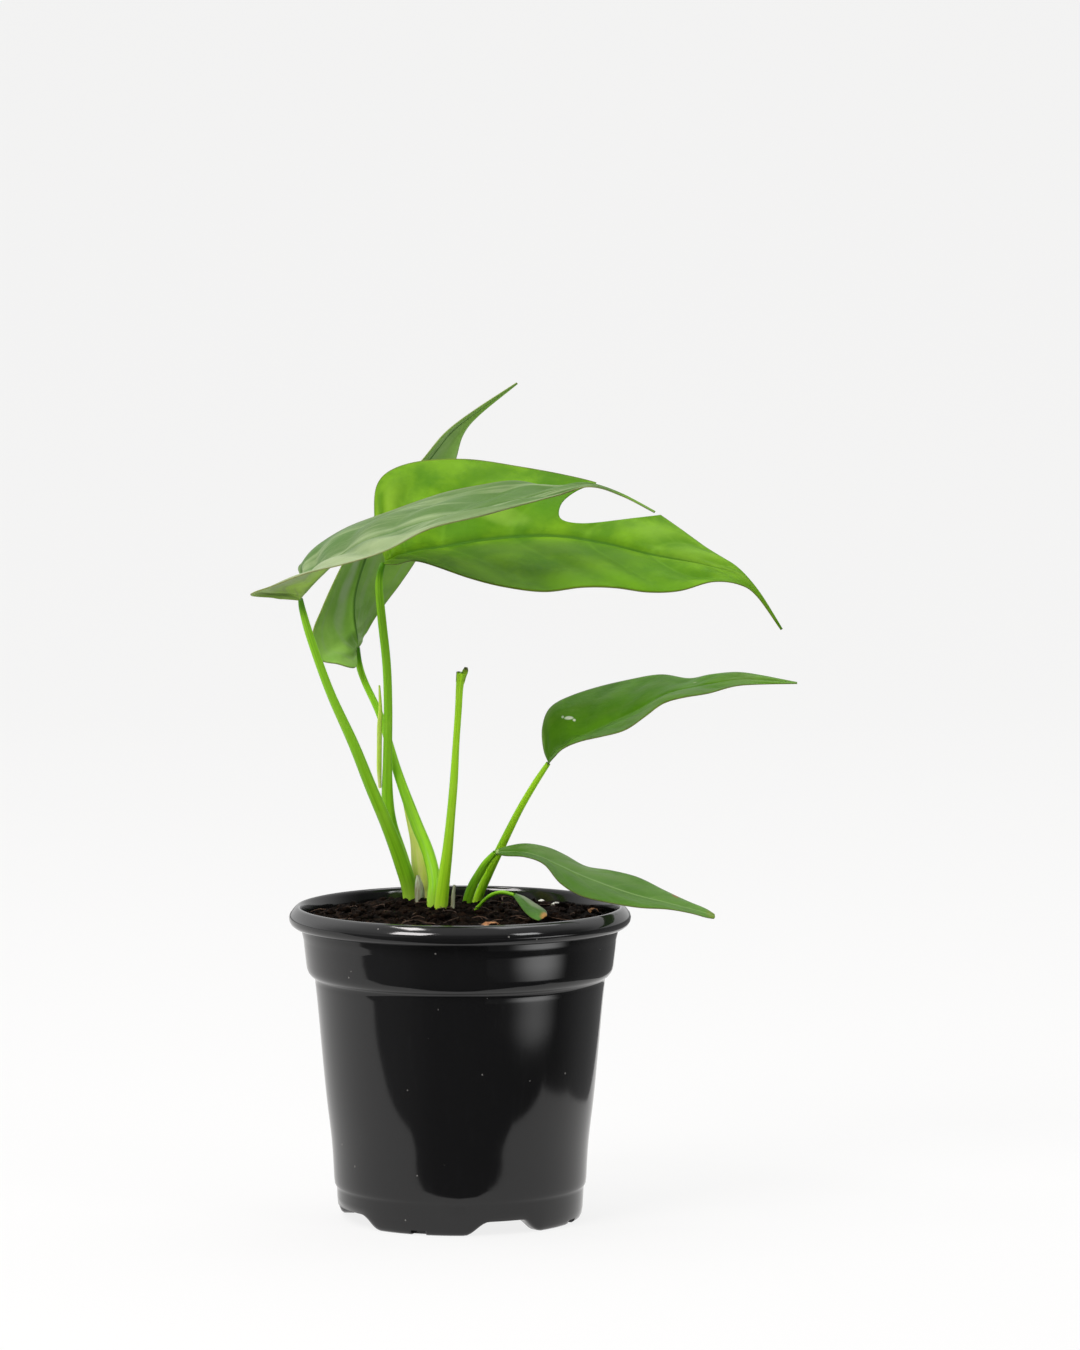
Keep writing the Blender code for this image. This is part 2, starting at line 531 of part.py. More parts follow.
def build_socket_cutter(name, route, cutters, frame):
    """The stalk's foot, wider and deeper by the gap, which makes its socket in the soil."""
    x, y, z, radius = route[0]
    foot = [(x, y, z - GAP, radius)] + route[1:4]
    stalk = build_stalk("socket_" + name, foot, cutters, frame, wider=GAP)
    cutter = as_mesh(stalk, cutters, frame)
    hide_cutter(cutter)
    return cutter


def build_bit(name, place, half_sizes, turn, collection, frame, finish, wider=0.0):
    """A small rounded grain or chip, pressed part of its height into the soil."""
    mesh = bpy.data.meshes.new(name)
    shape = bmesh.new()
    bmesh.ops.create_icosphere(shape, subdivisions=1, radius=1.0)
    bmesh.ops.scale(shape, vec=[half + wider for half in half_sizes], verts=shape.verts)
    shape.to_mesh(mesh)
    shape.free()
    bit = add_object(name, mesh, collection, frame, finish)
    x, y = place
    bit.location = (x, y, soil_height(x, y) + BIT_STANDS_PROUD * half_sizes[2])
    bit.rotation_euler.z = turn
    return bit


def main():
    clear_scene()
    plant = make_collection("mini_monstera")
    cutters = make_collection("cutters")
    frame = bpy.data.objects.new("pot_axis", None)
    plant.objects.link(frame)
    frame.location = POT_AXIS

    build_pot(plant, cutters, frame)
    soil = build_soil(plant, frame)

    large_blade = build_blade("large_leaf_blade", LARGE_LEAF, plant, frame, BRIGHT_LEAF)
    add_boolean(large_blade, build_notch_cutter(cutters, frame))
    build_blade("left_leaf_blade", LEFT_LEAF, plant, frame, GREY_LEAF)
    build_blade("back_leaf_blade", BACK_LEAF, plant, frame, DARK_LEAF)
    build_blade("right_leaf_blade", RIGHT_LEAF, plant, frame, MID_LEAF)
    build_blade("lower_leaf_blade", LOWER_LEAF, plant, frame, MID_LEAF)
    build_blade("small_leaf_blade", SMALL_LEAF, plant, frame, MID_LEAF)
    build_stalk("large_leaf_sheath_wing", SHEATH_WING, plant, frame, PALE_SHEATH)

    planted = {
        "large_leaf_petiole": (LARGE_PETIOLE, STALK_GREEN),
        "left_leaf_petiole": (LEFT_PETIOLE, STALK_GREEN),
        "back_leaf_petiole": (BACK_PETIOLE, STALK_GREEN),
        "right_leaf_petiole": (RIGHT_PETIOLE, STALK_GREEN),
        "cut_petiole": (CUT_PETIOLE, STALK_GREEN),
        "lower_leaf_sheath": (LOWER_SHEATH, STALK_GREEN),
        "small_leaf_stalk": (SMALL_STALK, STALK_GREEN),
        "pale_cataphyll": (CATAPHYLL, PALE_SHEATH),
        "papery_sheath": (PAPERY_SHEATH, DRY_SHEATH),
        "split_sheath": (SPLIT_SHEATH, DRY_SHEATH),
    }
    for name, (route, finish) in planted.items():
        build_stalk(name, route, plant, frame, finish)
        add_boolean(soil, build_socket_cutter(name, route, cutters, frame))

    for name, (place, half_sizes, turn) in SOIL_BITS.items():
        finish = PERLITE if name.startswith("perlite") else BARK
        build_bit(name, place, half_sizes, turn, plant, frame, finish)
        cutter = build_bit("bed_" + name, place, half_sizes, turn, cutters, frame, None, wider=GAP)
        hide_cutter(cutter)
        add_boolean(soil, cutter)


main()
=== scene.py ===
"""The looks of the mini monstera: fine leaves, stalks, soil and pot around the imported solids.

Places are in metres from the pot's axis, which the frame gives. The camera has the photograph's view.
"""

import math
import random

import bmesh
import bpy
import numpy as np
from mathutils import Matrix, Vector, noise


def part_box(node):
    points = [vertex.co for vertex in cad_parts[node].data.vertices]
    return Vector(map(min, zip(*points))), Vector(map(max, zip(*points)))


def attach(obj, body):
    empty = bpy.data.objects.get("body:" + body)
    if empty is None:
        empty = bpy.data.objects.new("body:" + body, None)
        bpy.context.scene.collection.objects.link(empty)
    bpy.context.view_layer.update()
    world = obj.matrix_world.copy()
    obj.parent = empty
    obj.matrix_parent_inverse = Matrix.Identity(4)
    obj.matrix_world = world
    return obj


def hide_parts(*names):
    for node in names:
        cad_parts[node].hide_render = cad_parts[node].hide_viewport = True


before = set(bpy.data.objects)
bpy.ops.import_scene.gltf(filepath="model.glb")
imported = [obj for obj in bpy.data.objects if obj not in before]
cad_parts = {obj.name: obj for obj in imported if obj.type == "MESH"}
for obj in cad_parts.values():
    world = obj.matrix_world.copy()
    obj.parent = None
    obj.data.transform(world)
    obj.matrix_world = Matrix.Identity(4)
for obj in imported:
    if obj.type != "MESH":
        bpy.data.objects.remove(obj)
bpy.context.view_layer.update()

POT_LOW, POT_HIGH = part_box("nursery_pot")
AXIS = np.array([(POT_LOW.x + POT_HIGH.x) / 2, (POT_LOW.y + POT_HIGH.y) / 2, 0.0])

# Camera, fitted to the pot's lip and base in the photograph
CAMERA_PLACE = (0.02573, -2.23499, 0.38273)
CAMERA_PITCH = math.radians(5.3)
FOCAL_PIXELS = 7000.0
FRAME_HEIGHT_PIXELS = 1350.0
SENSOR_MM = 36.0

# Pot sheet, as the middle of its thickness, (radius, height)
SHEET = 0.0008
POT_STEPS = 192
LIP = [
    (0.0524, 0.0950), (0.0532, 0.0950), (0.0540, 0.0956), (0.0545, 0.0965),
    (0.0546, 0.0975), (0.0543, 0.0984), (0.0536, 0.0993), (0.0529, 0.1001),
    (0.0524, 0.1005), (0.0520, 0.1006), (0.0517, 0.1003), (0.0514, 0.0994),
]
COLLAR = [
    (0.0511, 0.0980), (0.0507, 0.0950), (0.0505, 0.0930), (0.0504, 0.0922),
    (0.0500, 0.0907), (0.0499, 0.0899), (0.0496, 0.0870), (0.0491, 0.0826),
    (0.0489, 0.0812), (0.0485, 0.0801), (0.0477, 0.0791), (0.0468, 0.0786),
    (0.0463, 0.0778), (0.0462, 0.0766),
]
BODY = [
    (0.0462, 0.0762), (0.0454, 0.0686), (0.0441, 0.0540), (0.0427, 0.0394),
    (0.0410, 0.0247), (0.0403, 0.0130),
]
BODY_POINTS = 24
STEP = [(0.0402, 0.0122), (0.0401, 0.0114), (0.0398, 0.0108), (0.0395, 0.0103), (0.0394, 0.0095)]
FOOT = [
    (0.0393, 0.0070), (0.0391, 0.0035), (0.0388, 0.0017), (0.0384, 0.0008),
    (0.0378, 0.0004), (0.0350, 0.0004),
]
FLOOR = [(0.0344, 0.0012), (0.0340, 0.0046), (0.0325, 0.0050), (0.0, 0.0050)]
# The four feet, as the middle and half width of each in degrees about the axis from the front
FEET = [(-19.5, 22.0), (67.0, 24.0), (157.0, 22.0), (-117.0, 18.0)]
ARCH_SLOPE = 12.0
FOOT_TOP = 0.0050
ARCH_RISE = 0.94
DRAIN_SIZE = (0.0050, 0.0060, 0.0030)
DRAIN_RADIUS = 0.0388

# Stage, in metres from the pot's axis: the floor and its bend, and the outlines that only reflections see
FLOOR_FRONT = -4.0
FLOOR_HALF_WIDTH = 4.0
BEND_START = 1.6
BEND_RADIUS = 1.2
WALL_TOP = 4.0
BEND_STEPS = 24
FLOOR_LIGHT = ((1.0, 0.998, 0.995), 0.83, 0.09)
TABLE_LIGHT = ((1.0, 0.99, 0.98), 0.80, 0.1)
TABLE_OUTLINE = [
    (-2.0, -0.100), (-0.075, -0.100), (-0.050, -0.090), (-0.022, -0.077), (0.0, -0.070),
    (0.016, -0.075), (0.034, -0.089), (0.086, -0.101), (0.175, -0.073), (0.190, 0.020),
    (0.145, 0.135), (0.145, 1.5), (-2.0, 1.5),
]
CARD_OUTLINE = [
    (0.09, -0.26), (0.15, -0.40), (0.42, -0.18), (0.42, -0.03), (0.27, -0.05),
]
CARD_MIDDLE = (0.30, -0.21)
CARD_REACH = (0.11, 0.10)
CARD_GLOW = 3.4
LIT_SHADE = 0.96

# Lights: place, target, size, power in watts and colour
LIGHTS = {
    "key": ((-0.75, -0.95, 1.15), (0.0, 0.0, 0.12), (0.6, 0.6), 20.0, (1.0, 0.97, 0.96)),
    "top": ((0.3, 0.4, 1.7), (0.0, 0.0, 0.15), (1.2, 0.9), 12.0, (1.0, 1.0, 1.0)),
    "lip_light": ((-0.55, -0.12, 1.55), (0.0, -0.05, 0.10), (0.55, 0.22), 7.0, (1.0, 0.96, 0.95)),
    "right_panel": ((0.95, -0.85, 0.85), (0.0, 0.0, 0.12), (0.4, 0.5), 5.0, (1.0, 1.0, 1.0)),
}

# World light along an axis: where the change starts and ends, and the strengths before and after it
WORLD_BEHIND = (-0.20, 0.55, 0.08, 0.85)
WORLD_ABOVE = (0.35, 0.95, 0.0, 0.55)
WORLD_LEFT = (-0.9, -0.3, 0.45, 0.0)
HORIZON = (-0.03, 0.03, 0.25, 1.0)

# Soil
SOIL_SIDE = [
    (0.0380, 0.0060), (0.0385, 0.0095), (0.0393, 0.0125), (0.0402, 0.0250),
    (0.0433, 0.0542), (0.0453, 0.0770), (0.0476, 0.0808), (0.0482, 0.0830),
    (0.0497, 0.0932), (0.0501, 0.0966),
]
SOIL_STEPS = 220
SOIL_RINGS = 110
SOIL_LEVEL = 0.0976
SOIL_EDGE_DROP = 0.0010
MOUND_CENTRE = (-0.008, 0.016)
MOUND_HEIGHT = 0.0030
MOUND_RADIUS = 0.018
SOIL_BUMP = 0.0005
SOIL_ROUGH = 0.0010
SOIL_ROUGH_SCALE = 260
SOIL_FLAT_RIM = 0.003
RIM_SLACK = 1e-6
CRUMBS = 900
CRUMB_SEED = 11
CRUMB_RIM_GAP = 0.0015
CRUMB_SIZES = (0.0004, 0.0015)
COARSE_CRUMB = 0.0007
CRUMB_LUMPS = 0.55
CRUMB_RAISED = 0.3
FIBRES = 55
FIBRE_SEED = 5
FIBRE_RIM_GAP = 0.006
FIBRE_BEND = 1.2
FIBRE_HEIGHT = 0.0004
FIBRE_HUMP = 0.0006
FIBRE_SIDES = 5
FIBRE_RINGS = 7
ANY_TURN = 6.28
SAME_PLACE = 1e-7

# Blades: each row is a point of the near margin, of the midrib and of the far margin
BLADE_SHEET = 0.00034
BLADE_ARCH = 0.05
TANGENT_STEP = 0.35
FLAT_BELOW_WIDTH = 0.012
LARGE_LEAF = [
    ((-0.0247, 0.0142, 0.2100), (-0.0242, 0.0150, 0.2107), (-0.0239, 0.0160, 0.2113)),
    ((-0.0215, 0.0080, 0.2108), (-0.0223, 0.0153, 0.2117), (-0.0266, 0.0210, 0.2169)),
    ((-0.0175, 0.0000, 0.2120), (-0.0200, 0.0156, 0.2126), (-0.0279, 0.0300, 0.2257)),
    ((-0.0132, -0.0070, 0.2121), (-0.0165, 0.0160, 0.2136), (-0.0270, 0.0380, 0.2339)),
    ((-0.0061, -0.0130, 0.2103), (-0.0107, 0.0170, 0.2145), (-0.0215, 0.0430, 0.2385)),
    ((0.0035, -0.0170, 0.2076), (-0.0027, 0.0175, 0.2159), (-0.0108, 0.0460, 0.2413)),
    ((0.0146, -0.0190, 0.2052), (0.0090, 0.0175, 0.2178), (0.0035, 0.0465, 0.2419)),
    ((0.0273, -0.0190, 0.2036), (0.0219, 0.0170, 0.2190), (0.0192, 0.0440, 0.2397)),
    ((0.0391, -0.0180, 0.2047), (0.0348, 0.0150, 0.2188), (0.0342, 0.0400, 0.2367)),
    ((0.0496, -0.0160, 0.2045), (0.0470, 0.0120, 0.2169), (0.0472, 0.0350, 0.2332)),
    ((0.0601, -0.0140, 0.2032), (0.0582, 0.0090, 0.2144), (0.0598, 0.0290, 0.2277)),
    ((0.0703, -0.0130, 0.2036), (0.0687, 0.0050, 0.2125), (0.0690, 0.0210, 0.2228)),
    ((0.0805, -0.0110, 0.2060), (0.0795, 0.0010, 0.2107), (0.0798, 0.0110, 0.2160)),
    ((0.0892, -0.0090, 0.2051), (0.0891, -0.0030, 0.2079), (0.0889, 0.0030, 0.2101)),
    ((0.0950, -0.0085, 0.2015), (0.0952, -0.0065, 0.2021), (0.0956, -0.0045, 0.2028)),
    ((0.1027, -0.0080, 0.1906), (0.1029, -0.0077, 0.1907), (0.1032, -0.0074, 0.1908)),
]
LEFT_LEAF = [
    ((-0.0509, -0.0210, 0.2012), (-0.0503, -0.0200, 0.2018), (-0.0499, -0.0188, 0.2019)),
    ((-0.0601, -0.0320, 0.2040), (-0.0492, -0.0205, 0.2037), (-0.0501, -0.0110, 0.2075)),
    ((-0.0654, -0.0420, 0.2047), (-0.0472, -0.0215, 0.2061), (-0.0510, -0.0040, 0.2096)),
    ((-0.0572, -0.0500, 0.2071), (-0.0434, -0.0225, 0.2100), (-0.0489, 0.0000, 0.2114)),
    ((-0.0458, -0.0540, 0.2118), (-0.0373, -0.0240, 0.2155), (-0.0441, 0.0020, 0.2170)),
    ((-0.0336, -0.0550, 0.2156), (-0.0281, -0.0260, 0.2207), (-0.0345, 0.0030, 0.2237)),
    ((-0.0214, -0.0540, 0.2196), (-0.0182, -0.0270, 0.2243), (-0.0207, 0.0020, 0.2289)),
    ((-0.0087, -0.0500, 0.2253), (-0.0059, -0.0270, 0.2277), (-0.0072, -0.0010, 0.2326)),
    ((0.0063, -0.0430, 0.2289), (0.0083, -0.0260, 0.2308), (0.0066, -0.0050, 0.2355)),
    ((0.0194, -0.0360, 0.2325), (0.0210, -0.0250, 0.2339), (0.0187, -0.0100, 0.2385)),
    ((0.0308, -0.0300, 0.2349), (0.0321, -0.0240, 0.2364), (0.0308, -0.0160, 0.2379)),
    ((0.0415, -0.0245, 0.2374), (0.0419, -0.0235, 0.2380), (0.0416, -0.0220, 0.2385)),
    ((0.0517, -0.0230, 0.2344), (0.0519, -0.0226, 0.2347), (0.0520, -0.0222, 0.2350)),
    ((0.0620, -0.0225, 0.2291), (0.0622, -0.0222, 0.2293), (0.0623, -0.0219, 0.2295)),
]
BACK_LEAF = [
    ((-0.0340, 0.0300, 0.1809), (-0.0336, 0.0310, 0.1813), (-0.0330, 0.0320, 0.1816)),
    ((-0.0347, 0.0240, 0.1756), (-0.0337, 0.0310, 0.1836), (-0.0322, 0.0350, 0.1829)),
    ((-0.0399, 0.0200, 0.1771), (-0.0342, 0.0310, 0.1862), (-0.0317, 0.0390, 0.1842)),
    ((-0.0454, 0.0180, 0.1792), (-0.0347, 0.0315, 0.1891), (-0.0301, 0.0420, 0.1862)),
    ((-0.0474, 0.0180, 0.1870), (-0.0351, 0.0325, 0.1933), (-0.0276, 0.0460, 0.1905)),
    ((-0.0448, 0.0210, 0.1949), (-0.0348, 0.0350, 0.1986), (-0.0240, 0.0500, 0.1957)),
    ((-0.0410, 0.0250, 0.2033), (-0.0332, 0.0385, 0.2052), (-0.0199, 0.0540, 0.2010)),
    ((-0.0359, 0.0310, 0.2126), (-0.0298, 0.0440, 0.2139), (-0.0144, 0.0590, 0.2085)),
    ((-0.0290, 0.0400, 0.2224), (-0.0243, 0.0510, 0.2232), (-0.0098, 0.0640, 0.2174)),
    ((-0.0213, 0.0490, 0.2316), (-0.0176, 0.0580, 0.2326), (-0.0056, 0.0690, 0.2279)),
    ((-0.0123, 0.0580, 0.2415), (-0.0098, 0.0650, 0.2421), (-0.0023, 0.0720, 0.2410)),
    ((-0.0052, 0.0670, 0.2495), (-0.0036, 0.0700, 0.2493), (0.0003, 0.0740, 0.2485)),
    ((0.0043, 0.0740, 0.2565), (0.0049, 0.0750, 0.2557), (0.0059, 0.0763, 0.2548)),
    ((0.0180, 0.0820, 0.2650), (0.0181, 0.0823, 0.2649), (0.0183, 0.0826, 0.2646)),
]
RIGHT_LEAF = [
    ((0.0281, 0.0070, 0.1457), (0.0284, 0.0080, 0.1460), (0.0286, 0.0090, 0.1462)),
    ((0.0299, 0.0040, 0.1484), (0.0294, 0.0080, 0.1480), (0.0269, 0.0120, 0.1503)),
    ((0.0328, -0.0010, 0.1515), (0.0319, 0.0080, 0.1507), (0.0267, 0.0170, 0.1566)),
    ((0.0385, -0.0060, 0.1541), (0.0364, 0.0075, 0.1537), (0.0293, 0.0220, 0.1623)),
    ((0.0455, -0.0090, 0.1563), (0.0425, 0.0070, 0.1563), (0.0361, 0.0250, 0.1662)),
    ((0.0529, -0.0110, 0.1588), (0.0495, 0.0065, 0.1596), (0.0458, 0.0260, 0.1696)),
    ((0.0593, -0.0110, 0.1629), (0.0569, 0.0060, 0.1632), (0.0562, 0.0250, 0.1718)),
    ((0.0653, -0.0095, 0.1670), (0.0640, 0.0055, 0.1676), (0.0652, 0.0220, 0.1730)),
    ((0.0721, -0.0075, 0.1690), (0.0717, 0.0050, 0.1702), (0.0736, 0.0170, 0.1725)),
    ((0.0801, -0.0050, 0.1701), (0.0804, 0.0045, 0.1719), (0.0806, 0.0130, 0.1747)),
    ((0.0882, -0.0020, 0.1719), (0.0887, 0.0040, 0.1734), (0.0885, 0.0090, 0.1757)),
    ((0.0957, 0.0010, 0.1723), (0.0964, 0.0030, 0.1735), (0.0964, 0.0050, 0.1749)),
    ((0.1082, 0.0016, 0.1725), (0.1083, 0.0020, 0.1726), (0.1082, 0.0024, 0.1728)),
]
LOWER_LEAF = [
    ((0.0114, 0.0060, 0.1171), (0.0114, 0.0070, 0.1174), (0.0115, 0.0080, 0.1178)),
    ((0.0145, 0.0050, 0.1165), (0.0148, 0.0070, 0.1174), (0.0151, 0.0090, 0.1190)),
    ((0.0209, 0.0010, 0.1165), (0.0206, 0.0055, 0.1173), (0.0212, 0.0100, 0.1197)),
    ((0.0270, -0.0050, 0.1147), (0.0261, 0.0030, 0.1160), (0.0280, 0.0110, 0.1183)),
    ((0.0321, -0.0120, 0.1097), (0.0318, 0.0000, 0.1137), (0.0341, 0.0110, 0.1158)),
    ((0.0388, -0.0180, 0.1063), (0.0386, -0.0030, 0.1109), (0.0406, 0.0090, 0.1126)),
    ((0.0474, -0.0210, 0.1044), (0.0469, -0.0070, 0.1081), (0.0483, 0.0050, 0.1115)),
    ((0.0569, -0.0230, 0.1032), (0.0558, -0.0110, 0.1055), (0.0572, 0.0000, 0.1098)),
    ((0.0662, -0.0230, 0.1027), (0.0647, -0.0150, 0.1038), (0.0652, -0.0060, 0.1069)),
    ((0.0735, -0.0230, 0.1014), (0.0726, -0.0180, 0.1022), (0.0731, -0.0120, 0.1039)),
    ((0.0786, -0.0220, 0.0999), (0.0783, -0.0200, 0.1010), (0.0784, -0.0170, 0.1021)),
    ((0.0812, -0.0215, 0.0994), (0.0815, -0.0210, 0.0999), (0.0814, -0.0200, 0.1006)),
]
SMALL_LEAF = [
    ((0.0172, -0.0058, 0.1047), (0.0175, -0.0050, 0.1050), (0.0179, -0.0044, 0.1053)),
    ((0.0187, -0.0110, 0.1031), (0.0196, -0.0090, 0.1041), (0.0209, -0.0060, 0.1044)),
    ((0.0211, -0.0170, 0.1007), (0.0225, -0.0140, 0.1020), (0.0244, -0.0100, 0.1027)),
    ((0.0232, -0.0210, 0.0995), (0.0253, -0.0180, 0.1008), (0.0275, -0.0140, 0.1010)),
    ((0.0252, -0.0232, 0.0990), (0.0266, -0.0220, 0.0995), (0.0280, -0.0200, 0.1002)),
]

# Leaf looks, in linear colours. A patch: middle and half sizes in (u, v), turn, softness, colour,
# strength. Some patches and the grey leaf's streaks are painted light, marked where they stand: painted
# sheen, painted shade and painted light through the blade. The crease shade strength paints shade along
# the side-vein valleys.
VEINS = 8
VEIN_SLANT = 0.16
LEAF_EDGE = (0.14, 0.075, 0.035)
BRIGHT_LOOK = {
    "name": "bright_leaf",
    "slot": "bright_leaf",
    "top": (0.155, 0.330, 0.008),
    "top_deep": (0.068, 0.195, 0.002),
    "under": (0.180, 0.360, 0.030),
    "under_deep": (0.130, 0.290, 0.020),
    "vein": (0.17, 0.36, 0.02),
    "vein_strength": 0.25,
    "painted_crease_shade_strength": 0.75,
    "midrib": (0.045, 0.150, 0.004),
    "midrib_strength": 0.80,
    "patches": [
        # Painted light: a brighter far half near the base, where light shines through the blade.
        ((0.15, 0.80), (0.11, 0.18), 0, 0.6, (0.220, 0.390, 0.024), 0.70),
        # Painted sheen: a greyish band below the midrib on the near half.
        ((0.47, 0.36), (0.20, 0.07), 0, 0.5, (0.095, 0.215, 0.022), 0.55),
        # Painted shade: a darker near half by the base of the blade.
        ((0.17, 0.30), (0.12, 0.16), 0, 0.5, (0.055, 0.150, 0.003), 0.65),
        # Painted shadow edge: a pale wedge on the lit side, then a painted shadow reaching towards the
        # notch.
        ((0.43, 0.63), (0.035, 0.07), 20, 0.25, (0.240, 0.420, 0.050), 0.60),
        ((0.50, 0.72), (0.06, 0.10), 0, 0.6, (0.075, 0.225, 0.003), 0.65),
        ((0.36, 0.58), (0.05, 0.06), 0, 0.6, (0.080, 0.230, 0.004), 0.60),
        ((0.45, 0.05), (0.30, 0.08), 0, 0.6, (0.150, 0.350, 0.008), 0.60),
        ((0.74, 0.74), (0.09, 0.12), 0, 0.7, (0.200, 0.380, 0.035), 0.60),
        ((0.83, 0.55), (0.10, 0.10), 0, 0.6, (0.170, 0.320, 0.025), 0.50),
        ((0.66, 0.30), (0.10, 0.12), 0, 0.6, (0.080, 0.230, 0.004), 0.45),
    ],
    "roughness": 0.46,
    "gloss": 0.06,
    "glow": 0.30,
}
GREY_LOOK = {
    "name": "grey_leaf",
    "slot": "grey_leaf",
    "top": (0.105, 0.175, 0.055),
    "top_deep": (0.060, 0.120, 0.026),
    "under": (0.380, 0.580, 0.110),
    "under_deep": (0.300, 0.500, 0.070),
    # Painted sheen: pale streaks over the blade.
    "streak": (0.240, 0.310, 0.150),
    "streak_scale": (2.2, 10.0, 1.0),
    "streak_strength": 0.65,
    "vein": (0.18, 0.27, 0.10),
    "vein_strength": 0.12,
    "painted_crease_shade_strength": 0.45,
    "midrib": (0.060, 0.140, 0.030),
    "midrib_strength": 0.45,
    "patches": [
        # Painted sheen: a whitish band along the near margin.
        ((0.37, 0.12), (0.30, 0.18), -4, 0.4, (0.260, 0.320, 0.165), 0.80),
        ((0.45, 0.82), (0.50, 0.26), 0, 0.4, (0.088, 0.150, 0.045), 0.65),
        ((0.24, 0.88), (0.16, 0.20), 12, 0.4, (0.065, 0.140, 0.032), 0.75),
        ((0.76, 0.45), (0.30, 0.55), 0, 0.4, (0.055, 0.125, 0.018), 0.85),
        ((0.97, 0.50), (0.06, 0.50), 0, 0.5, (0.150, 0.330, 0.015), 0.80),
    ],
    "roughness": 0.42,
    "gloss": 0.10,
    "glow": 0.08,
}
DARK_LOOK = {
    "name": "dark_leaf",
    "slot": "dark_leaf",
    "top": (0.150, 0.320, 0.050),
    "top_deep": (0.100, 0.240, 0.030),
    "under": (0.270, 0.490, 0.085),
    "under_deep": (0.185, 0.380, 0.052),
    "streak": (0.270, 0.400, 0.170),
    "streak_scale": (1.6, 9.0, 1.0),
    "streak_strength": 0.50,
    "vein": (0.20, 0.38, 0.09),
    "vein_strength": 0.15,
    "painted_crease_shade_strength": 0.5,
    "midrib": (0.050, 0.140, 0.015),
    "midrib_strength": 0.80,
    "patches": [
        # Painted sheen: a whitish stripe on the near half, below the midrib.
        ((0.44, 0.34), (0.16, 0.07), 0, 0.6, (0.360, 0.480, 0.260), 0.80),
        ((0.14, 0.42), (0.06, 0.12), 0, 0.5, (0.060, 0.160, 0.018), 0.55),
        ((0.80, 0.50), (0.12, 0.35), 0, 0.5, (0.250, 0.390, 0.140), 0.60),
        ((0.97, 0.50), (0.10, 0.45), 0, 0.5, (0.160, 0.340, 0.030), 0.70),
    ],
    "roughness": 0.38,
    "gloss": 0.16,
    "glow": 0.14,
}
MIDDLE_LOOK = {
    "name": "mid_leaf",
    "slot": "mid_leaf",
    "top": (0.090, 0.245, 0.007),
    "top_deep": (0.054, 0.160, 0.004),
    "under": (0.120, 0.300, 0.020),
    "under_deep": (0.080, 0.220, 0.012),
    "streak": (0.110, 0.220, 0.025),
    "streak_scale": (2.0, 7.0, 1.0),
    "streak_strength": 0.30,
    "vein": (0.09, 0.22, 0.02),
    "vein_strength": 0.20,
    "painted_crease_shade_strength": 0.6,
    "midrib": (0.120, 0.230, 0.050),
    "midrib_strength": 0.55,
    "patches": [
        ((0.12, 0.97), (0.12, 0.10), 0, 0.6, (0.200, 0.330, 0.070), 0.60),
        # Painted sheen: a greyish band along the near margin.
        ((0.62, 0.12), (0.26, 0.12), 0, 0.6, (0.105, 0.180, 0.045), 0.40),
        ((0.92, 0.60), (0.12, 0.40), 0, 0.6, (0.125, 0.200, 0.050), 0.50),
        ((0.285, 0.74), (0.010, 0.030), 20, 0.3, (0.80, 0.82, 0.70), 0.85),
        ((0.298, 0.69), (0.005, 0.014), 0, 0.3, (0.80, 0.82, 0.70), 0.85),
        ((0.268, 0.79), (0.005, 0.014), 0, 0.3, (0.80, 0.82, 0.70), 0.75),
        ((0.70, 0.70), (0.006, 0.020), 0, 0.4, (0.42, 0.48, 0.30), 0.70),
    ],
    "roughness": 0.40,
    "gloss": 0.10,
    "glow": 0.12,
}
LOWER_LOOK = {
    "name": "lower_leaf",
    "slot": "mid_leaf",
    "top": (0.100, 0.225, 0.030),
    "top_deep": (0.070, 0.175, 0.018),
    "under": (0.130, 0.290, 0.050),
    "under_deep": (0.100, 0.240, 0.035),
    "vein": (0.17, 0.30, 0.07),
    "vein_strength": 0.22,
    "painted_crease_shade_strength": 0.5,
    "midrib": (0.230, 0.370, 0.110),
    "midrib_strength": 0.75,
    "patches": [
        ((0.10, 0.30), (0.14, 0.35), 0, 0.5, (0.050, 0.150, 0.012), 0.70),
        ((0.35, 0.80), (0.25, 0.16), 0, 0.5, (0.135, 0.235, 0.060), 0.60),
        ((0.70, 0.25), (0.20, 0.20), 0, 0.5, (0.075, 0.190, 0.016), 0.60),
        ((0.96, 0.50), (0.04, 0.50), 0, 0.5, (0.170, 0.220, 0.030), 0.80),
        ((0.77, 0.90), (0.012, 0.05), 0, 0.4, (0.260, 0.110, 0.040), 0.90),
        ((0.02, 0.50), (0.016, 0.50), 0, 0.4, (0.400, 0.540, 0.180), 0.80),
    ],
    "roughness": 0.42,
    "gloss": 0.10,
    "glow": 0.14,
}
SMALL_LOOK = {
    "name": "small_leaf",
    "slot": "mid_leaf",
    "top": (0.060, 0.170, 0.014),
    "top_deep": (0.040, 0.120, 0.009),
    "under": (0.090, 0.210, 0.030),
    "under_deep": (0.070, 0.170, 0.022),
    "vein": (0.10, 0.22, 0.03),
    "vein_strength": 0.10,
    "painted_crease_shade_strength": 0.3,
    "midrib": (0.10, 0.22, 0.03),
    "midrib_strength": 0.40,
    "patches": [
        # Painted sheen: a greyish band along the far margin.
        ((0.40, 0.85), (0.30, 0.22), 0, 0.5, (0.260, 0.310, 0.190), 0.75),
        ((0.98, 0.70), (0.16, 0.35), 0, 0.4, (0.480, 0.220, 0.060), 0.85),
    ],
    "roughness": 0.42,
    "gloss": 0.20,
    "glow": 0.08,
}

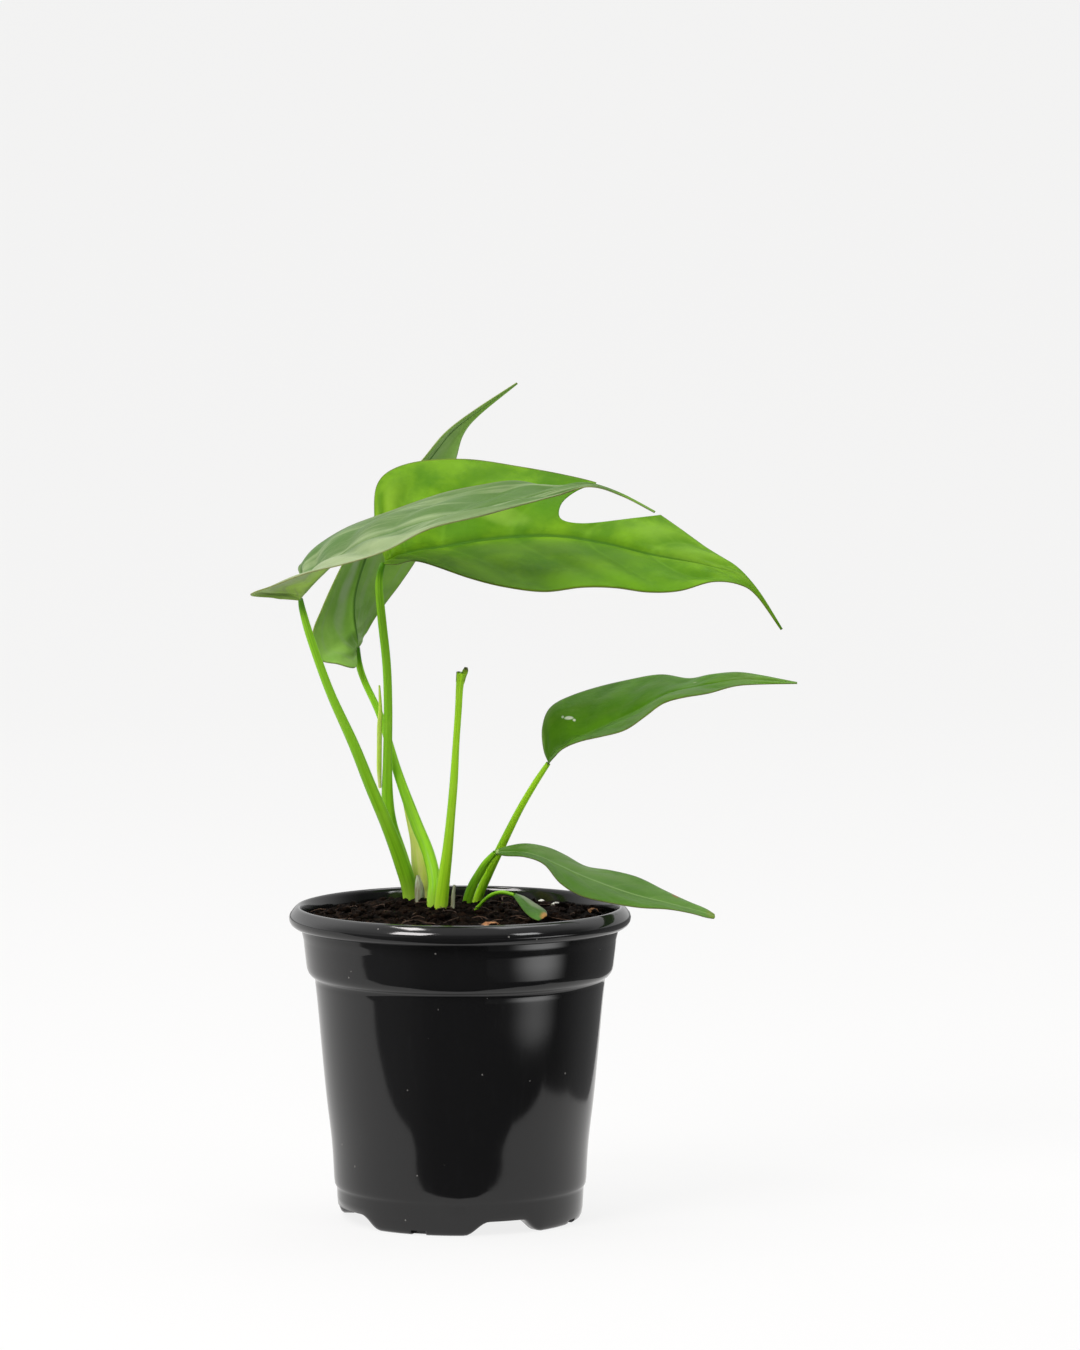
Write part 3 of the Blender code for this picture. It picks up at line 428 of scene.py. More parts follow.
# Each blade: rows, look, stations, columns, and the relief of its side veins, panels, midrib and waves
BLADES = {
    "large_leaf_blade": (LARGE_LEAF, BRIGHT_LOOK, 220, 71, (0.00018, 0.00070, 0.0006, 0.0008)),
    "left_leaf_blade": (LEFT_LEAF, GREY_LOOK, 180, 61, (0.00030, 0.00090, 0.0006, 0.0014)),
    "back_leaf_blade": (BACK_LEAF, DARK_LOOK, 170, 51, (0.00008, 0.00030, 0.0007, 0.0006)),
    "right_leaf_blade": (RIGHT_LEAF, MIDDLE_LOOK, 160, 45, (0.00008, 0.00030, 0.0004, 0.0006)),
    "lower_leaf_blade": (LOWER_LEAF, LOWER_LOOK, 150, 41, (0.00006, 0.00016, -0.0003, 0.0003)),
    "small_leaf_blade": (SMALL_LEAF, SMALL_LOOK, 70, 21, (0.00003, 0.00005, 0.0001, 0.0001)),
}

# The large leaf's notch, seen from the front, (x, z)
NOTCH_LOBE_TIP = (0.0439, 0.2345)
NOTCH_CURVE = [(0.0377, 0.2323), (0.0327, 0.2286), (0.0325, 0.2242), (0.0394, 0.2228), (0.0520, 0.2238)]
NOTCH_MOUTH = [(0.0655, 0.2252), (0.0700, 0.2300), (0.0560, 0.2420), (0.0450, 0.2372)]
NOTCH_DEPTHS = (0.008, 0.056)
NOTCH_STEPS = 60

# Stalks: x, y, z and radius
LARGE_PETIOLE = [
    (-0.0146, 0.0320, 0.0900, 0.0022), (-0.0160, 0.0310, 0.1011, 0.0023),
    (-0.0194, 0.0295, 0.1128, 0.0023), (-0.0227, 0.0270, 0.1239, 0.0021),
    (-0.0238, 0.0245, 0.1333, 0.0019), (-0.0237, 0.0215, 0.1457, 0.0015),
    (-0.0234, 0.0185, 0.1623, 0.0014), (-0.0238, 0.0165, 0.1771, 0.0014),
    (-0.0252, 0.0152, 0.1912, 0.0014), (-0.0261, 0.0144, 0.2016, 0.0013),
    (-0.0258, 0.0140, 0.2070, 0.0011), (-0.0247, 0.0146, 0.2103, 0.0008),
]
LEFT_PETIOLE = [
    (-0.0160, 0.0228, 0.0900, 0.0024), (-0.0164, 0.0220, 0.1023, 0.0026),
    (-0.0192, 0.0190, 0.1127, 0.0025), (-0.0237, 0.0140, 0.1254, 0.0021),
    (-0.0289, 0.0080, 0.1387, 0.0019), (-0.0342, 0.0010, 0.1532, 0.0017),
    (-0.0414, -0.0070, 0.1706, 0.0014), (-0.0471, -0.0145, 0.1879, 0.0013),
    (-0.0496, -0.0180, 0.1972, 0.0011), (-0.0503, -0.0198, 0.2014, 0.0008),
]
BACK_PETIOLE = [
    (-0.0090, 0.0090, 0.0900, 0.0020), (-0.0088, 0.0100, 0.1008, 0.0021),
    (-0.0085, 0.0120, 0.1077, 0.0021), (-0.0105, 0.0160, 0.1161, 0.0020),
    (-0.0148, 0.0200, 0.1263, 0.0019), (-0.0204, 0.0250, 0.1411, 0.0015),
    (-0.0259, 0.0280, 0.1588, 0.0012), (-0.0311, 0.0295, 0.1702, 0.0011),
    (-0.0331, 0.0312, 0.1761, 0.0011), (-0.0336, 0.0312, 0.1815, 0.0008),
]
RIGHT_PETIOLE = [
    (0.0040, 0.0227, 0.0900, 0.0015), (0.0053, 0.0220, 0.0996, 0.0015),
    (0.0089, 0.0200, 0.1087, 0.0015), (0.0128, 0.0175, 0.1172, 0.0014),
    (0.0173, 0.0142, 0.1268, 0.0012), (0.0204, 0.0120, 0.1329, 0.0011),
    (0.0246, 0.0096, 0.1402, 0.0010), (0.0284, 0.0080, 0.1461, 0.0008),
]
CUT_PETIOLE = [
    (-0.0070, 0.0052, 0.0900, 0.0021), (-0.0063, 0.0045, 0.0986, 0.0022),
    (-0.0055, 0.0035, 0.1071, 0.0021), (-0.0041, 0.0020, 0.1178, 0.0017),
    (-0.0029, 0.0000, 0.1300, 0.0014), (-0.0019, -0.0020, 0.1417, 0.0013),
    (-0.0012, -0.0035, 0.1532, 0.0011), (-0.0004, -0.0050, 0.1646, 0.0011),
    (0.0000, -0.0060, 0.1718, 0.0012), (0.0006, -0.0065, 0.1768, 0.0015),
]
LOWER_SHEATH = [
    (0.0012, 0.0148, 0.0900, 0.0014), (0.0021, 0.0140, 0.1000, 0.0015),
    (0.0037, 0.0130, 0.1053, 0.0015), (0.0060, 0.0115, 0.1097, 0.0014),
    (0.0083, 0.0095, 0.1136, 0.0012), (0.0113, 0.0071, 0.1172, 0.0009),
]
SMALL_STALK = [
    (0.0044, 0.0056, 0.0900, 0.0007), (0.0049, 0.0050, 0.0980, 0.0007),
    (0.0064, 0.0030, 0.1007, 0.0006), (0.0087, 0.0000, 0.1034, 0.0006),
    (0.0110, -0.0020, 0.1050, 0.0006), (0.0139, -0.0035, 0.1057, 0.0006),
    (0.0174, -0.0050, 0.1050, 0.0005),
]
TORN_PRONG_1 = [
    (-0.0001, -0.0062, 0.1738, 0.0011), (-0.0003, -0.0064, 0.1758, 0.0008),
    (-0.0005, -0.0065, 0.1771, 0.0005),
]
TORN_PRONG_2 = [
    (0.0005, -0.0063, 0.1736, 0.0011), (0.0012, -0.0065, 0.1757, 0.0010),
    (0.0019, -0.0066, 0.1774, 0.0009), (0.0021, -0.0066, 0.1785, 0.0005),
]
SHEATH_WING = [
    (-0.0262, 0.0232, 0.1365, 0.0005), (-0.0264, 0.0220, 0.1430, 0.0008),
    (-0.0263, 0.0206, 0.1500, 0.0008), (-0.0262, 0.0194, 0.1570, 0.0008),
    (-0.0259, 0.0184, 0.1630, 0.0006), (-0.0262, 0.0177, 0.1704, 0.0003),
]
CATAPHYLL = [
    (-0.0118, 0.0268, 0.0900, 0.0020), (-0.0121, 0.0260, 0.1018, 0.0024),
    (-0.0127, 0.0250, 0.1061, 0.0027), (-0.0133, 0.0245, 0.1121, 0.0028),
    (-0.0144, 0.0246, 0.1181, 0.0020), (-0.0158, 0.0248, 0.1226, 0.0013),
    (-0.0172, 0.0256, 0.1285, 0.0011), (-0.0186, 0.0266, 0.1346, 0.0008),
    (-0.0193, 0.0272, 0.1378, 0.0004),
]
PAPERY_SHEATH = [
    (-0.0131, 0.0150, 0.0900, 0.0012), (-0.0132, 0.0150, 0.1020, 0.0016),
    (-0.0135, 0.0152, 0.1060, 0.0013), (-0.0139, 0.0158, 0.1088, 0.0005),
]
SPLIT_SHEATH = [
    (-0.0026, 0.0046, 0.0900, 0.0007), (-0.0024, 0.0040, 0.0990, 0.0007),
    (-0.0022, 0.0036, 0.1040, 0.0006), (-0.0018, 0.0034, 0.1072, 0.0004),
]

# Stalk looks: light, dark and base colours, and where they differ from the usual the end, gloss and glow
STALK_LOOKS = {
    # The green stalks' dark end is partly painted shade where they meet the blade and partly the joint's
    # own darker green.
    "stalk_green": (
        (0.35, 0.72, 0.026), (0.20, 0.50, 0.014), (0.44, 0.66, 0.08), {"end_tint_and_joint_shade": (0.075, 0.26, 0.008)}
    ),
    "stalk_lime": ((0.44, 0.78, 0.024), (0.28, 0.60, 0.014), (0.56, 0.72, 0.10), {}),
    "stalk_young": ((0.30, 0.64, 0.022), (0.14, 0.42, 0.010), (0.38, 0.58, 0.06), {}),
    "pale_sheath": ((0.62, 0.78, 0.12), (0.48, 0.70, 0.08), (0.72, 0.74, 0.32), {"glow": 0.2}),
    "stained_sheath": (
        (0.66, 0.82, 0.10), (0.84, 0.84, 0.30), (0.74, 0.62, 0.34), {"roughness": 0.42, "glow": 0.2}
    ),
    "dry_sheath": ((0.52, 0.60, 0.42), (0.22, 0.17, 0.08), (0.36, 0.34, 0.20), {"glow": 0.3}),
    "torn_end": (
        (0.34, 0.58, 0.03), (0.14, 0.28, 0.015), (0.40, 0.70, 0.03),
        {"end_tint_and_joint_shade": (0.06, 0.055, 0.015), "end_span": (0.55, 0.85)},
    ),
}
STALK_GROOVE = 0.10

# Each stalk: route, look, material slot, rings and sides
STALKS = {
    "large_leaf_petiole": (LARGE_PETIOLE, "stalk_green", "stalk", 90, 28),
    "left_leaf_petiole": (LEFT_PETIOLE, "stalk_green", "stalk", 90, 28),
    "back_leaf_petiole": (BACK_PETIOLE, "stalk_green", "stalk", 90, 28),
    "right_leaf_petiole": (RIGHT_PETIOLE, "stalk_lime", "stalk", 90, 28),
    "cut_petiole": (CUT_PETIOLE, "stalk_lime", "stalk", 90, 28),
    "lower_leaf_sheath": (LOWER_SHEATH, "stalk_young", "stalk", 90, 28),
    "small_leaf_stalk": (SMALL_STALK, "stalk_young", "stalk", 50, 14),
    "large_leaf_sheath_wing": (SHEATH_WING, "pale_sheath", "pale_sheath", 50, 16),
    "pale_cataphyll": (CATAPHYLL, "stained_sheath", "pale_sheath", 70, 28),
    "papery_sheath": (PAPERY_SHEATH, "dry_sheath", "dry_sheath", 40, 18),
    "split_sheath": (SPLIT_SHEATH, "dry_sheath", "dry_sheath", 40, 14),
    "cut_petiole_prong_1": (TORN_PRONG_1, "torn_end", "stalk", 24, 16),
    "cut_petiole_prong_2": (TORN_PRONG_2, "torn_end", "stalk", 24, 16),
}

# Loose bits on the soil: place, half sizes, turn about Z
SOIL_BITS = {
    "perlite_grain_1": ((0.0308, 0.0240), (0.0013, 0.0011, 0.0010), 0.3),
    "perlite_grain_2": ((0.0262, 0.0340), (0.0010, 0.0009, 0.0008), 1.1),
    "bark_chip_1": ((0.0099, -0.0260), (0.0030, 0.0014, 0.0009), 0.5),
    "bark_chip_2": ((0.0430, 0.0080), (0.0024, 0.0012, 0.0009), 1.9),
}
BIT_STANDS_PROUD = 0.35
BIT_LUMPS = 0.24


class Nodes:
    """Short calls for building the node tree of a new material or world."""

    def __init__(self, name, kind="materials"):
        self.owner = getattr(bpy.data, kind).new(name)
        self.owner.use_nodes = True
        self.tree = self.owner.node_tree
        self.shader = self.tree.nodes.get("Principled BSDF")

    def add(self, kind, **settings):
        node = self.tree.nodes.new(kind)
        for key, value in settings.items():
            setattr(node, key, value)
        return node

    def link(self, source, target):
        self.tree.links.new(source, target)

    def put(self, value, socket):
        """A number or colour goes on the socket, and another node's output is linked to it."""
        if isinstance(value, bpy.types.NodeSocket):
            self.link(value, socket)
        elif isinstance(value, (tuple, list)) and len(value) == 3 and socket.type == "RGBA":
            socket.default_value = (*value, 1.0)
        else:
            socket.default_value = value

    def math(self, operation, a, b=0.0, clamp=False):
        node = self.add("ShaderNodeMath", operation=operation, use_clamp=clamp)
        self.put(a, node.inputs[0])
        self.put(b, node.inputs[1])
        return node.outputs[0]

    def times(self, a, b):
        return self.math("MULTIPLY", a, b)

    def object_place(self):
        return self.add("ShaderNodeTexCoord").outputs["Object"]

    def along_across(self, layer):
        """The piece's own two coordinates, from its UV map."""
        node = self.add("ShaderNodeUVMap", uv_map=layer)
        split = self.add("ShaderNodeSeparateXYZ")
        self.link(node.outputs["UV"], split.inputs[0])
        return node.outputs["UV"], split.outputs[0], split.outputs[1]

    def stretched(self, vector, scale):
        node = self.add("ShaderNodeMapping")
        self.link(vector, node.inputs["Vector"])
        node.inputs["Scale"].default_value = scale
        return node.outputs[0]

    def noise(self, vector, scale, detail=3.0, roughness=0.5):
        node = self.add("ShaderNodeTexNoise")
        self.link(vector, node.inputs["Vector"])
        node.inputs["Scale"].default_value = scale
        node.inputs["Detail"].default_value = detail
        node.inputs["Roughness"].default_value = roughness
        return node.outputs["Fac"]

    def ramp(self, value, low, high, start=0.0, end=1.0):
        """value between low and high becomes start to end, smoothly."""
        node = self.add("ShaderNodeMapRange", interpolation_type="SMOOTHSTEP")
        self.put(value, node.inputs["Value"])
        node.inputs["From Min"].default_value = low
        node.inputs["From Max"].default_value = high
        node.inputs["To Min"].default_value = start
        node.inputs["To Max"].default_value = end
        return node.outputs["Result"]

    def mix(self, amount, a, b):
        node = self.add("ShaderNodeMix", data_type="RGBA")
        self.put(amount, node.inputs["Factor"])
        self.put(a, node.inputs["A"])
        self.put(b, node.inputs["B"])
        return node.outputs["Result"]

    def patch(self, own, centre, size, turn, soft):
        """1 inside an ellipse of the piece's own coordinates and 0 outside it, with a soft edge."""
        node = self.add("ShaderNodeMapping", vector_type="TEXTURE")
        self.link(own, node.inputs["Vector"])
        node.inputs["Location"].default_value = (*centre, 0.0)
        node.inputs["Rotation"].default_value = (0.0, 0.0, math.radians(turn))
        node.inputs["Scale"].default_value = (*size, 1.0)
        length = self.add("ShaderNodeVectorMath", operation="LENGTH")
        self.link(node.outputs[0], length.inputs[0])
        return self.ramp(length.outputs["Value"], 1 - soft, 1 + soft, 1.0, 0.0)

    def bump(self, height, strength, distance):
        node = self.add("ShaderNodeBump")
        node.inputs["Strength"].default_value = strength
        node.inputs["Distance"].default_value = distance
        self.link(height, node.inputs["Height"])
        self.link(node.outputs["Normal"], self.shader.inputs["Normal"])

    def glow_through(self, colour, amount):
        """Lets this part of the light pass through the thin sheet."""
        through = self.add("ShaderNodeBsdfTranslucent")
        self.put(colour, through.inputs["Color"])
        both = self.add("ShaderNodeMixShader")
        both.inputs["Fac"].default_value = amount
        self.link(self.shader.outputs["BSDF"], both.inputs[1])
        self.link(through.outputs["BSDF"], both.inputs[2])
        self.link(both.outputs[0], self.tree.nodes["Material Output"].inputs["Surface"])

    def finish(self, colour, roughness, **more):
        self.put(colour, self.shader.inputs["Base Color"])
        self.put(roughness, self.shader.inputs["Roughness"])
        for key, value in more.items():
            self.put(value, self.shader.inputs[key.replace("_", " ")])
        return self.owner


def new_object(name, data):
    """An object of this mesh, light or camera, in the scene."""
    made = bpy.data.objects.new(name, data)
    bpy.context.scene.collection.objects.link(made)
    return made


def mesh_of(name, shape):
    """A mesh with the shape of this bmesh, which it frees."""
    mesh = bpy.data.meshes.new(name)
    shape.to_mesh(mesh)
    shape.free()
    return mesh


def close_seams(mesh):
    """Joins the points that a turned profile doubles on the axis, and turns the faces outward."""
    shape = bmesh.new()
    shape.from_mesh(mesh)
    bmesh.ops.remove_doubles(shape, verts=shape.verts, dist=SAME_PLACE)
    bmesh.ops.recalc_face_normals(shape, faces=shape.faces)
    shape.to_mesh(mesh)
    shape.free()


def spline(points, places):
    """The smooth curve through the points, at many places counted in points from the first."""
    points = np.asarray(points, float)
    places = np.asarray(places, float)
    last = len(points) - 1
    span = np.clip(places.astype(int), 0, last - 1)
    part = (places - span)[..., None]
    before = points[np.maximum(span - 1, 0)]
    start = points[span]
    end = points[span + 1]
    after = points[np.minimum(span + 2, last)]
    return 0.5 * (
        2 * start
        + (end - before) * part
        + (2 * before - 5 * start + 4 * end - after) * part**2
        + (3 * start - before - 3 * end + after) * part**3
    )


def new_piece(name, vertices, faces, materials, replaced=(), uvs=None):
    """A mesh object that rides on the plant, with its own coordinates in a UV map."""
    mesh = bpy.data.meshes.new(name)
    mesh.from_pydata([tuple(vertex) for vertex in np.asarray(vertices) + AXIS], [], faces)
    if uvs is not None:
        layer = mesh.uv_layers.new(name="own")
        corners = np.empty(len(mesh.loops), int)
        mesh.loops.foreach_get("vertex_index", corners)
        layer.data.foreach_set("uv", np.asarray(uvs, np.float32)[corners].ravel())
    mesh.shade_smooth()
    piece = new_object(name, mesh)
    for material in materials:
        mesh.materials.append(material)
    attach(piece, "root")
    if replaced:
        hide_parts(*replaced)
    return piece


def grid_faces(rows, columns, closed=False):
    """Quads of a grid of rows by columns, whose columns may close into rings."""
    faces = []
    for row in range(rows - 1):
        for column in range(columns if closed else columns - 1):
            beside = (column + 1) % columns
            here = row * columns
            faces.append((here + column, here + columns + column, here + columns + beside, here + beside))
    return faces


def flipped(faces):
    return [tuple(reversed(face)) for face in faces]


def tube_faces(rings, sides, first=0):
    """The faces of a tube closed at both ends, whose points start at this index."""
    faces = flipped(grid_faces(rings, sides, closed=True))
    faces.append(tuple(range(sides)))
    faces.append(tuple(reversed(range((rings - 1) * sides, rings * sides))))
    return [tuple(first + index for index in face) for face in faces]


def leaf_material(look):
    """A leaf's two faces. u runs from stalk to tip, and v from the near margin over the midrib at 0.5."""
    made = []
    for face in ("top", "under"):
        n = Nodes(f"{look['name']}_{face}")
        own, u, v = n.along_across("own")
        place = n.object_place()
        across = n.times(n.math("ABSOLUTE", n.math("SUBTRACT", v, 0.5)), 2.0)
        blotch = n.noise(place, 60.0, 5.0, 0.6)
        colour = n.mix(n.ramp(blotch, 0.34, 0.68), look[face], look[face + "_deep"])
        # Patches: the leaf's own tones, and on some leaves painted sheen, painted shade and painted light
        # through the blade.
        for centre, size, turn, soft, tint, strength in look["patches"]:
            amount = n.times(n.patch(own, centre, size, turn, soft), strength)
            colour = n.mix(amount, colour, tint)
        # Streaks: on the grey leaf these pale streaks are painted sheen.
        if "streak" in look:
            streaks = n.noise(n.stretched(own, look["streak_scale"]), 1.0, 3.0, 0.55)
            amount = n.ramp(streaks, 0.46, 0.64, 0.0, look["streak_strength"])
            colour = n.mix(amount, colour, look["streak"])
        slant = n.math("SUBTRACT", u, n.times(n.math("POWER", across, 1.5), VEIN_SLANT))
        phase = n.math("FRACT", n.times(slant, float(VEINS)))
        off_vein = n.math("ABSOLUTE", n.math("SUBTRACT", phase, 0.5))
        # Painted shade: the colour darkens towards the deep colour along the side-vein valleys, where the
        # creases would lie in shade.
        fold = n.noise(n.stretched(own, (9.0, 3.5, 1.0)), 1.0, 3.0, 0.6)
        panel = n.times(n.ramp(off_vein, 0.05, 0.45, 1.0, 0.0), n.ramp(fold, 0.35, 0.62))
        colour = n.mix(n.times(panel, look["painted_crease_shade_strength"]), colour, look[face + "_deep"])
        vein_line = n.ramp(off_vein, 0.0, 0.07, look["vein_strength"], 0.0)
        vein = n.times(vein_line, n.ramp(across, 0.1, 0.95, 1.0, 0.0))
        colour = n.mix(vein, colour, look["vein"])
        colour = n.mix(n.ramp(across, 0.012, 0.045, look["midrib_strength"], 0.0), colour, look["midrib"])
        edge = n.ramp(across, 0.978, 0.998, 0.0, 0.5)
        colour = n.mix(edge, colour, LEAF_EDGE)
        rough = n.math("ADD", n.times(n.noise(place, 130.0), 0.14), look["roughness"] - 0.07)
        n.bump(n.noise(place, 240.0, 5.0, 0.6), 0.55, 0.0006)
        n.glow_through(colour, look["glow"])
        made.append(n.finish(colour, rough, Specular_IOR_Level=look["gloss"]))
    return made


def leaf_relief(u, v, depth, pucker, midrib, wave):
    """Height over the smooth blade: a grooved midrib, sunken side veins, raised panels and slow waves."""
    across = np.abs(v)
    phase = ((u - VEIN_SLANT * across**1.5) * VEINS) % 1.0 - 0.5
    fade = np.clip(across * 5, 0, 1) * np.clip((1 - across) * 3, 0, 1)
    line = np.exp(-((phase / 0.12) ** 2))
    panel = 0.5 + 0.5 * np.cos(2 * np.pi * phase)
    groove = np.exp(-((across / 0.05) ** 2))
    slow = np.sin(9.5 * u + 2.4 * v + 0.6) * np.sin(5.0 * v + 3.1 * u) + 0.5 * np.sin(19.0 * u - 3.7 * v)
    return -depth * line * fade - pucker * panel * fade - midrib * groove + wave * slow * across


def build_blade(name, rows, look, stations, columns, relief):
    """A leaf blade, lofted between its margins over its midrib, with its veins in relief."""
    near, midrib, far = (np.array([row[side] for row in rows]) for side in range(3))
    last = len(rows) - 1
    places = np.linspace(0, last, stations)
    left, middle, right = (spline(rail, places) for rail in (near, midrib, far))
    after = spline(midrib, np.minimum(places + TANGENT_STEP, last))
    ahead = after - spline(midrib, np.maximum(places - TANGENT_STEP, 0))
    upward = np.cross(ahead, right - left)
    upward /= np.linalg.norm(upward, axis=1, keepdims=True)
    v = np.linspace(-1, 1, columns)
    across = np.abs(v)[None, :, None]
    reach = np.where((v < 0)[None, :, None], left[:, None, :], right[:, None, :]) - middle[:, None, :]
    width = np.linalg.norm(reach, axis=2, keepdims=True)
    arch = 4 * BLADE_ARCH * across * (1 - across) * width
    u = (places / last)[:, None]
    bumps = leaf_relief(u, v[None, :], *relief)
    bumps = bumps * np.clip(width[..., 0] / FLAT_BELOW_WIDTH, 0, 1)
    points = middle[:, None, :] + reach * across + upward[:, None, :] * (arch + bumps[..., None])
    uvs = np.stack(np.broadcast_arrays(u, (v[None, :] + 1) / 2), -1).reshape(-1, 2)
    faces = grid_faces(stations, columns)
    points = points.reshape(-1, 3)
    blade = new_piece(name + "_fine", points, faces, leaf_material(look), [name], uvs)
    solidify = blade.modifiers.new("thickness", "SOLIDIFY")
    solidify.thickness = BLADE_SHEET
    solidify.offset = 0.0
    solidify.material_offset = 1
    solidify.material_offset_rim = 1
    return blade


def build_notch_cutter():
    """A prism whose outline follows the notch inside the blade and closes outside it."""
    curved = np.array([NOTCH_LOBE_TIP] + NOTCH_CURVE + NOTCH_MOUTH[:1])
    smooth = spline(curved, np.linspace(0, len(curved) - 1, NOTCH_STEPS))
    outline = [tuple(point) for point in smooth] + NOTCH_MOUTH[1:]
    shape = bmesh.new()
    front, back = NOTCH_DEPTHS
    corners = [shape.verts.new(AXIS + (x, front, z)) for x, z in outline]
    base = shape.faces.new(corners)
    extruded = bmesh.ops.extrude_face_region(shape, geom=[base])["geom"]
    moved = [item for item in extruded if isinstance(item, bmesh.types.BMVert)]
    bmesh.ops.translate(shape, verts=moved, vec=(0, back - front, 0))
    bmesh.ops.recalc_face_normals(shape, faces=shape.faces)
    return new_object("notch_cutter", mesh_of("notch_cutter", shape))


def apply_boolean(piece, cutter):
    """Cuts the piece for good, with its earlier modifiers, and removes the cutter."""
    modifier = piece.modifiers.new("cut", "BOOLEAN")
    modifier.operation = "DIFFERENCE"
    modifier.object = cutter
    bpy.context.view_layer.update()
    graph = bpy.context.evaluated_depsgraph_get()
    mesh = bpy.data.meshes.new_from_object(piece.evaluated_get(graph))
    piece.modifiers.clear()
    piece.data = mesh
    bpy.data.objects.remove(cutter, do_unlink=True)


def stalk_material(
    name, light, dark, base_tint, end_tint_and_joint_shade=None, end_span=(0.84, 0.94), roughness=0.36, glow=0.22
):
    """Smooth stalk with lengthwise streaks, paler where it leaves the soil, and a colour at its end: on
    the green stalks a darker end that is partly painted shade where they meet the blade and partly the
    joint's own darker green, on the torn prongs their own brown.
    """
    n = Nodes(name)
    own, _, along = n.along_across("own")
    place = n.object_place()
    streaks = n.noise(n.stretched(own, (6.0, 1.6, 1.0)), 1.0, 4.0, 0.6)
    colour = n.mix(n.ramp(streaks, 0.34, 0.68), light, dark)
    blotch = n.noise(place, 160.0, 3.0, 0.5)
    colour = n.mix(n.ramp(blotch, 0.5, 0.8, 0.0, 0.25), colour, base_tint)
    colour = n.mix(n.ramp(along, 0.03, 0.20, 0.85, 0.0), colour, base_tint)
    # Colour at the end: on the green stalks partly painted shade where they meet the blade, on the torn
    # prongs their own brown end.
    if end_tint_and_joint_shade is not None:
        colour = n.mix(n.ramp(along, *end_span, 0.0, 0.9), colour, end_tint_and_joint_shade)
    rough = n.math("ADD", n.times(blotch, 0.2), roughness - 0.1)
    n.glow_through(colour, glow)
    return n.finish(colour, rough, Specular_IOR_Level=0.18)


def build_stalk(name, route, material, rings, sides):
    """A tapering stalk on the smooth curve through its route, with a shallow groove down one side."""
    points = np.array(route)
    places = np.linspace(0, len(points) - 1, rings)
    line = spline(points, places)
    middle, radius = line[:, :3], line[:, 3]
    ahead = np.gradient(middle, axis=0)
    ahead /= np.linalg.norm(ahead, axis=1, keepdims=True)
    side = np.cross(ahead, (0.0, 1.0, 0.0))
    side /= np.linalg.norm(side, axis=1, keepdims=True)
    front = np.cross(side, ahead)
    turn = np.linspace(0, 2 * math.pi, sides, endpoint=False)
    swell = 1 - STALK_GROOVE * np.exp(-(((turn - math.pi / 2) / 0.5) ** 2))
    reach = radius[:, None] * swell[None, :]
    vertices = (
        middle[:, None, :]
        + side[:, None, :] * (reach * np.cos(turn))[..., None]
        + front[:, None, :] * (reach * np.sin(turn))[..., None]
    ).reshape(-1, 3)
    faces = tube_faces(rings, sides)
    around = np.abs(np.linspace(-1, 1, sides, endpoint=False))
    uvs = np.stack(np.broadcast_arrays(around[None, :], (places / (len(points) - 1))[:, None]), -1)
    replaced = [name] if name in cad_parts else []
    new_piece(name + "_fine", vertices, faces, [material], replaced, uvs.reshape(-1, 2))


def turned(profile, steps):
    """Vertices and faces of a profile of (radius, height) points turned about the axis."""
    turn = np.linspace(0, 2 * math.pi, steps, endpoint=False)
    profile = np.array(profile)
    x = profile[:, :1] * np.sin(turn)[None, :]
    y = -profile[:, :1] * np.cos(turn)[None, :]
    z = np.broadcast_to(profile[:, 1:], x.shape)
    return np.stack([x, y, z], -1).reshape(-1, 3), flipped(grid_faces(len(profile), steps, closed=True))


def arch_amount(x, y):
    """0 on a foot and 1 in the arch between two feet."""
    angle = np.degrees(np.arctan2(x, -y))
    outside = np.min([abs((angle - middle + 180) % 360 - 180) - half for middle, half in FEET], axis=0)
    rise = np.clip(outside / ARCH_SLOPE, 0.0, 1.0)
    return rise * rise * (3 - 2 * rise)


def pot_material():
    """Thin black plastic: glossy, with slow waves in its gloss, faint scuffs and specks of dust."""
    n = Nodes("black_plastic")
    place = n.object_place()
    slow = n.noise(n.stretched(place, (1.0, 1.0, 0.35)), 22.0, 2.0, 0.5)
    scuffs = n.noise(n.stretched(place, (1.0, 1.0, 0.08)), 900.0, 3.0, 0.6)
    specks = n.add("ShaderNodeTexVoronoi", feature="F1")
    n.link(place, specks.inputs["Vector"])
    specks.inputs["Scale"].default_value = 230.0
    rare = n.ramp(n.noise(place, 170.0, 1.0), 0.58, 0.62)
    dust = n.times(n.ramp(specks.outputs["Distance"], 0.04, 0.09, 1.0, 0.0), rare)
    colour = n.mix(n.ramp(scuffs, 0.55, 0.85, 0.0, 0.4), (0.0065, 0.0065, 0.0068), (0.014, 0.014, 0.015))
    colour = n.mix(n.times(dust, 0.5), colour, (0.30, 0.29, 0.27))
    rough = n.math("ADD", n.times(slow, 0.05), n.times(scuffs, 0.05))
    rough = n.math("ADD", rough, n.times(dust, 0.5))
    rough = n.math("ADD", rough, 0.05, clamp=True)
    n.bump(slow, 0.25, 0.0010)
    return n.finish(colour, rough, Specular_IOR_Level=0.5)


def body_profile():
    """The pot's wall, whose taper eases a little towards the foot."""
    return [tuple(point) for point in spline(BODY, np.linspace(0, len(BODY) - 1, BODY_POINTS))]


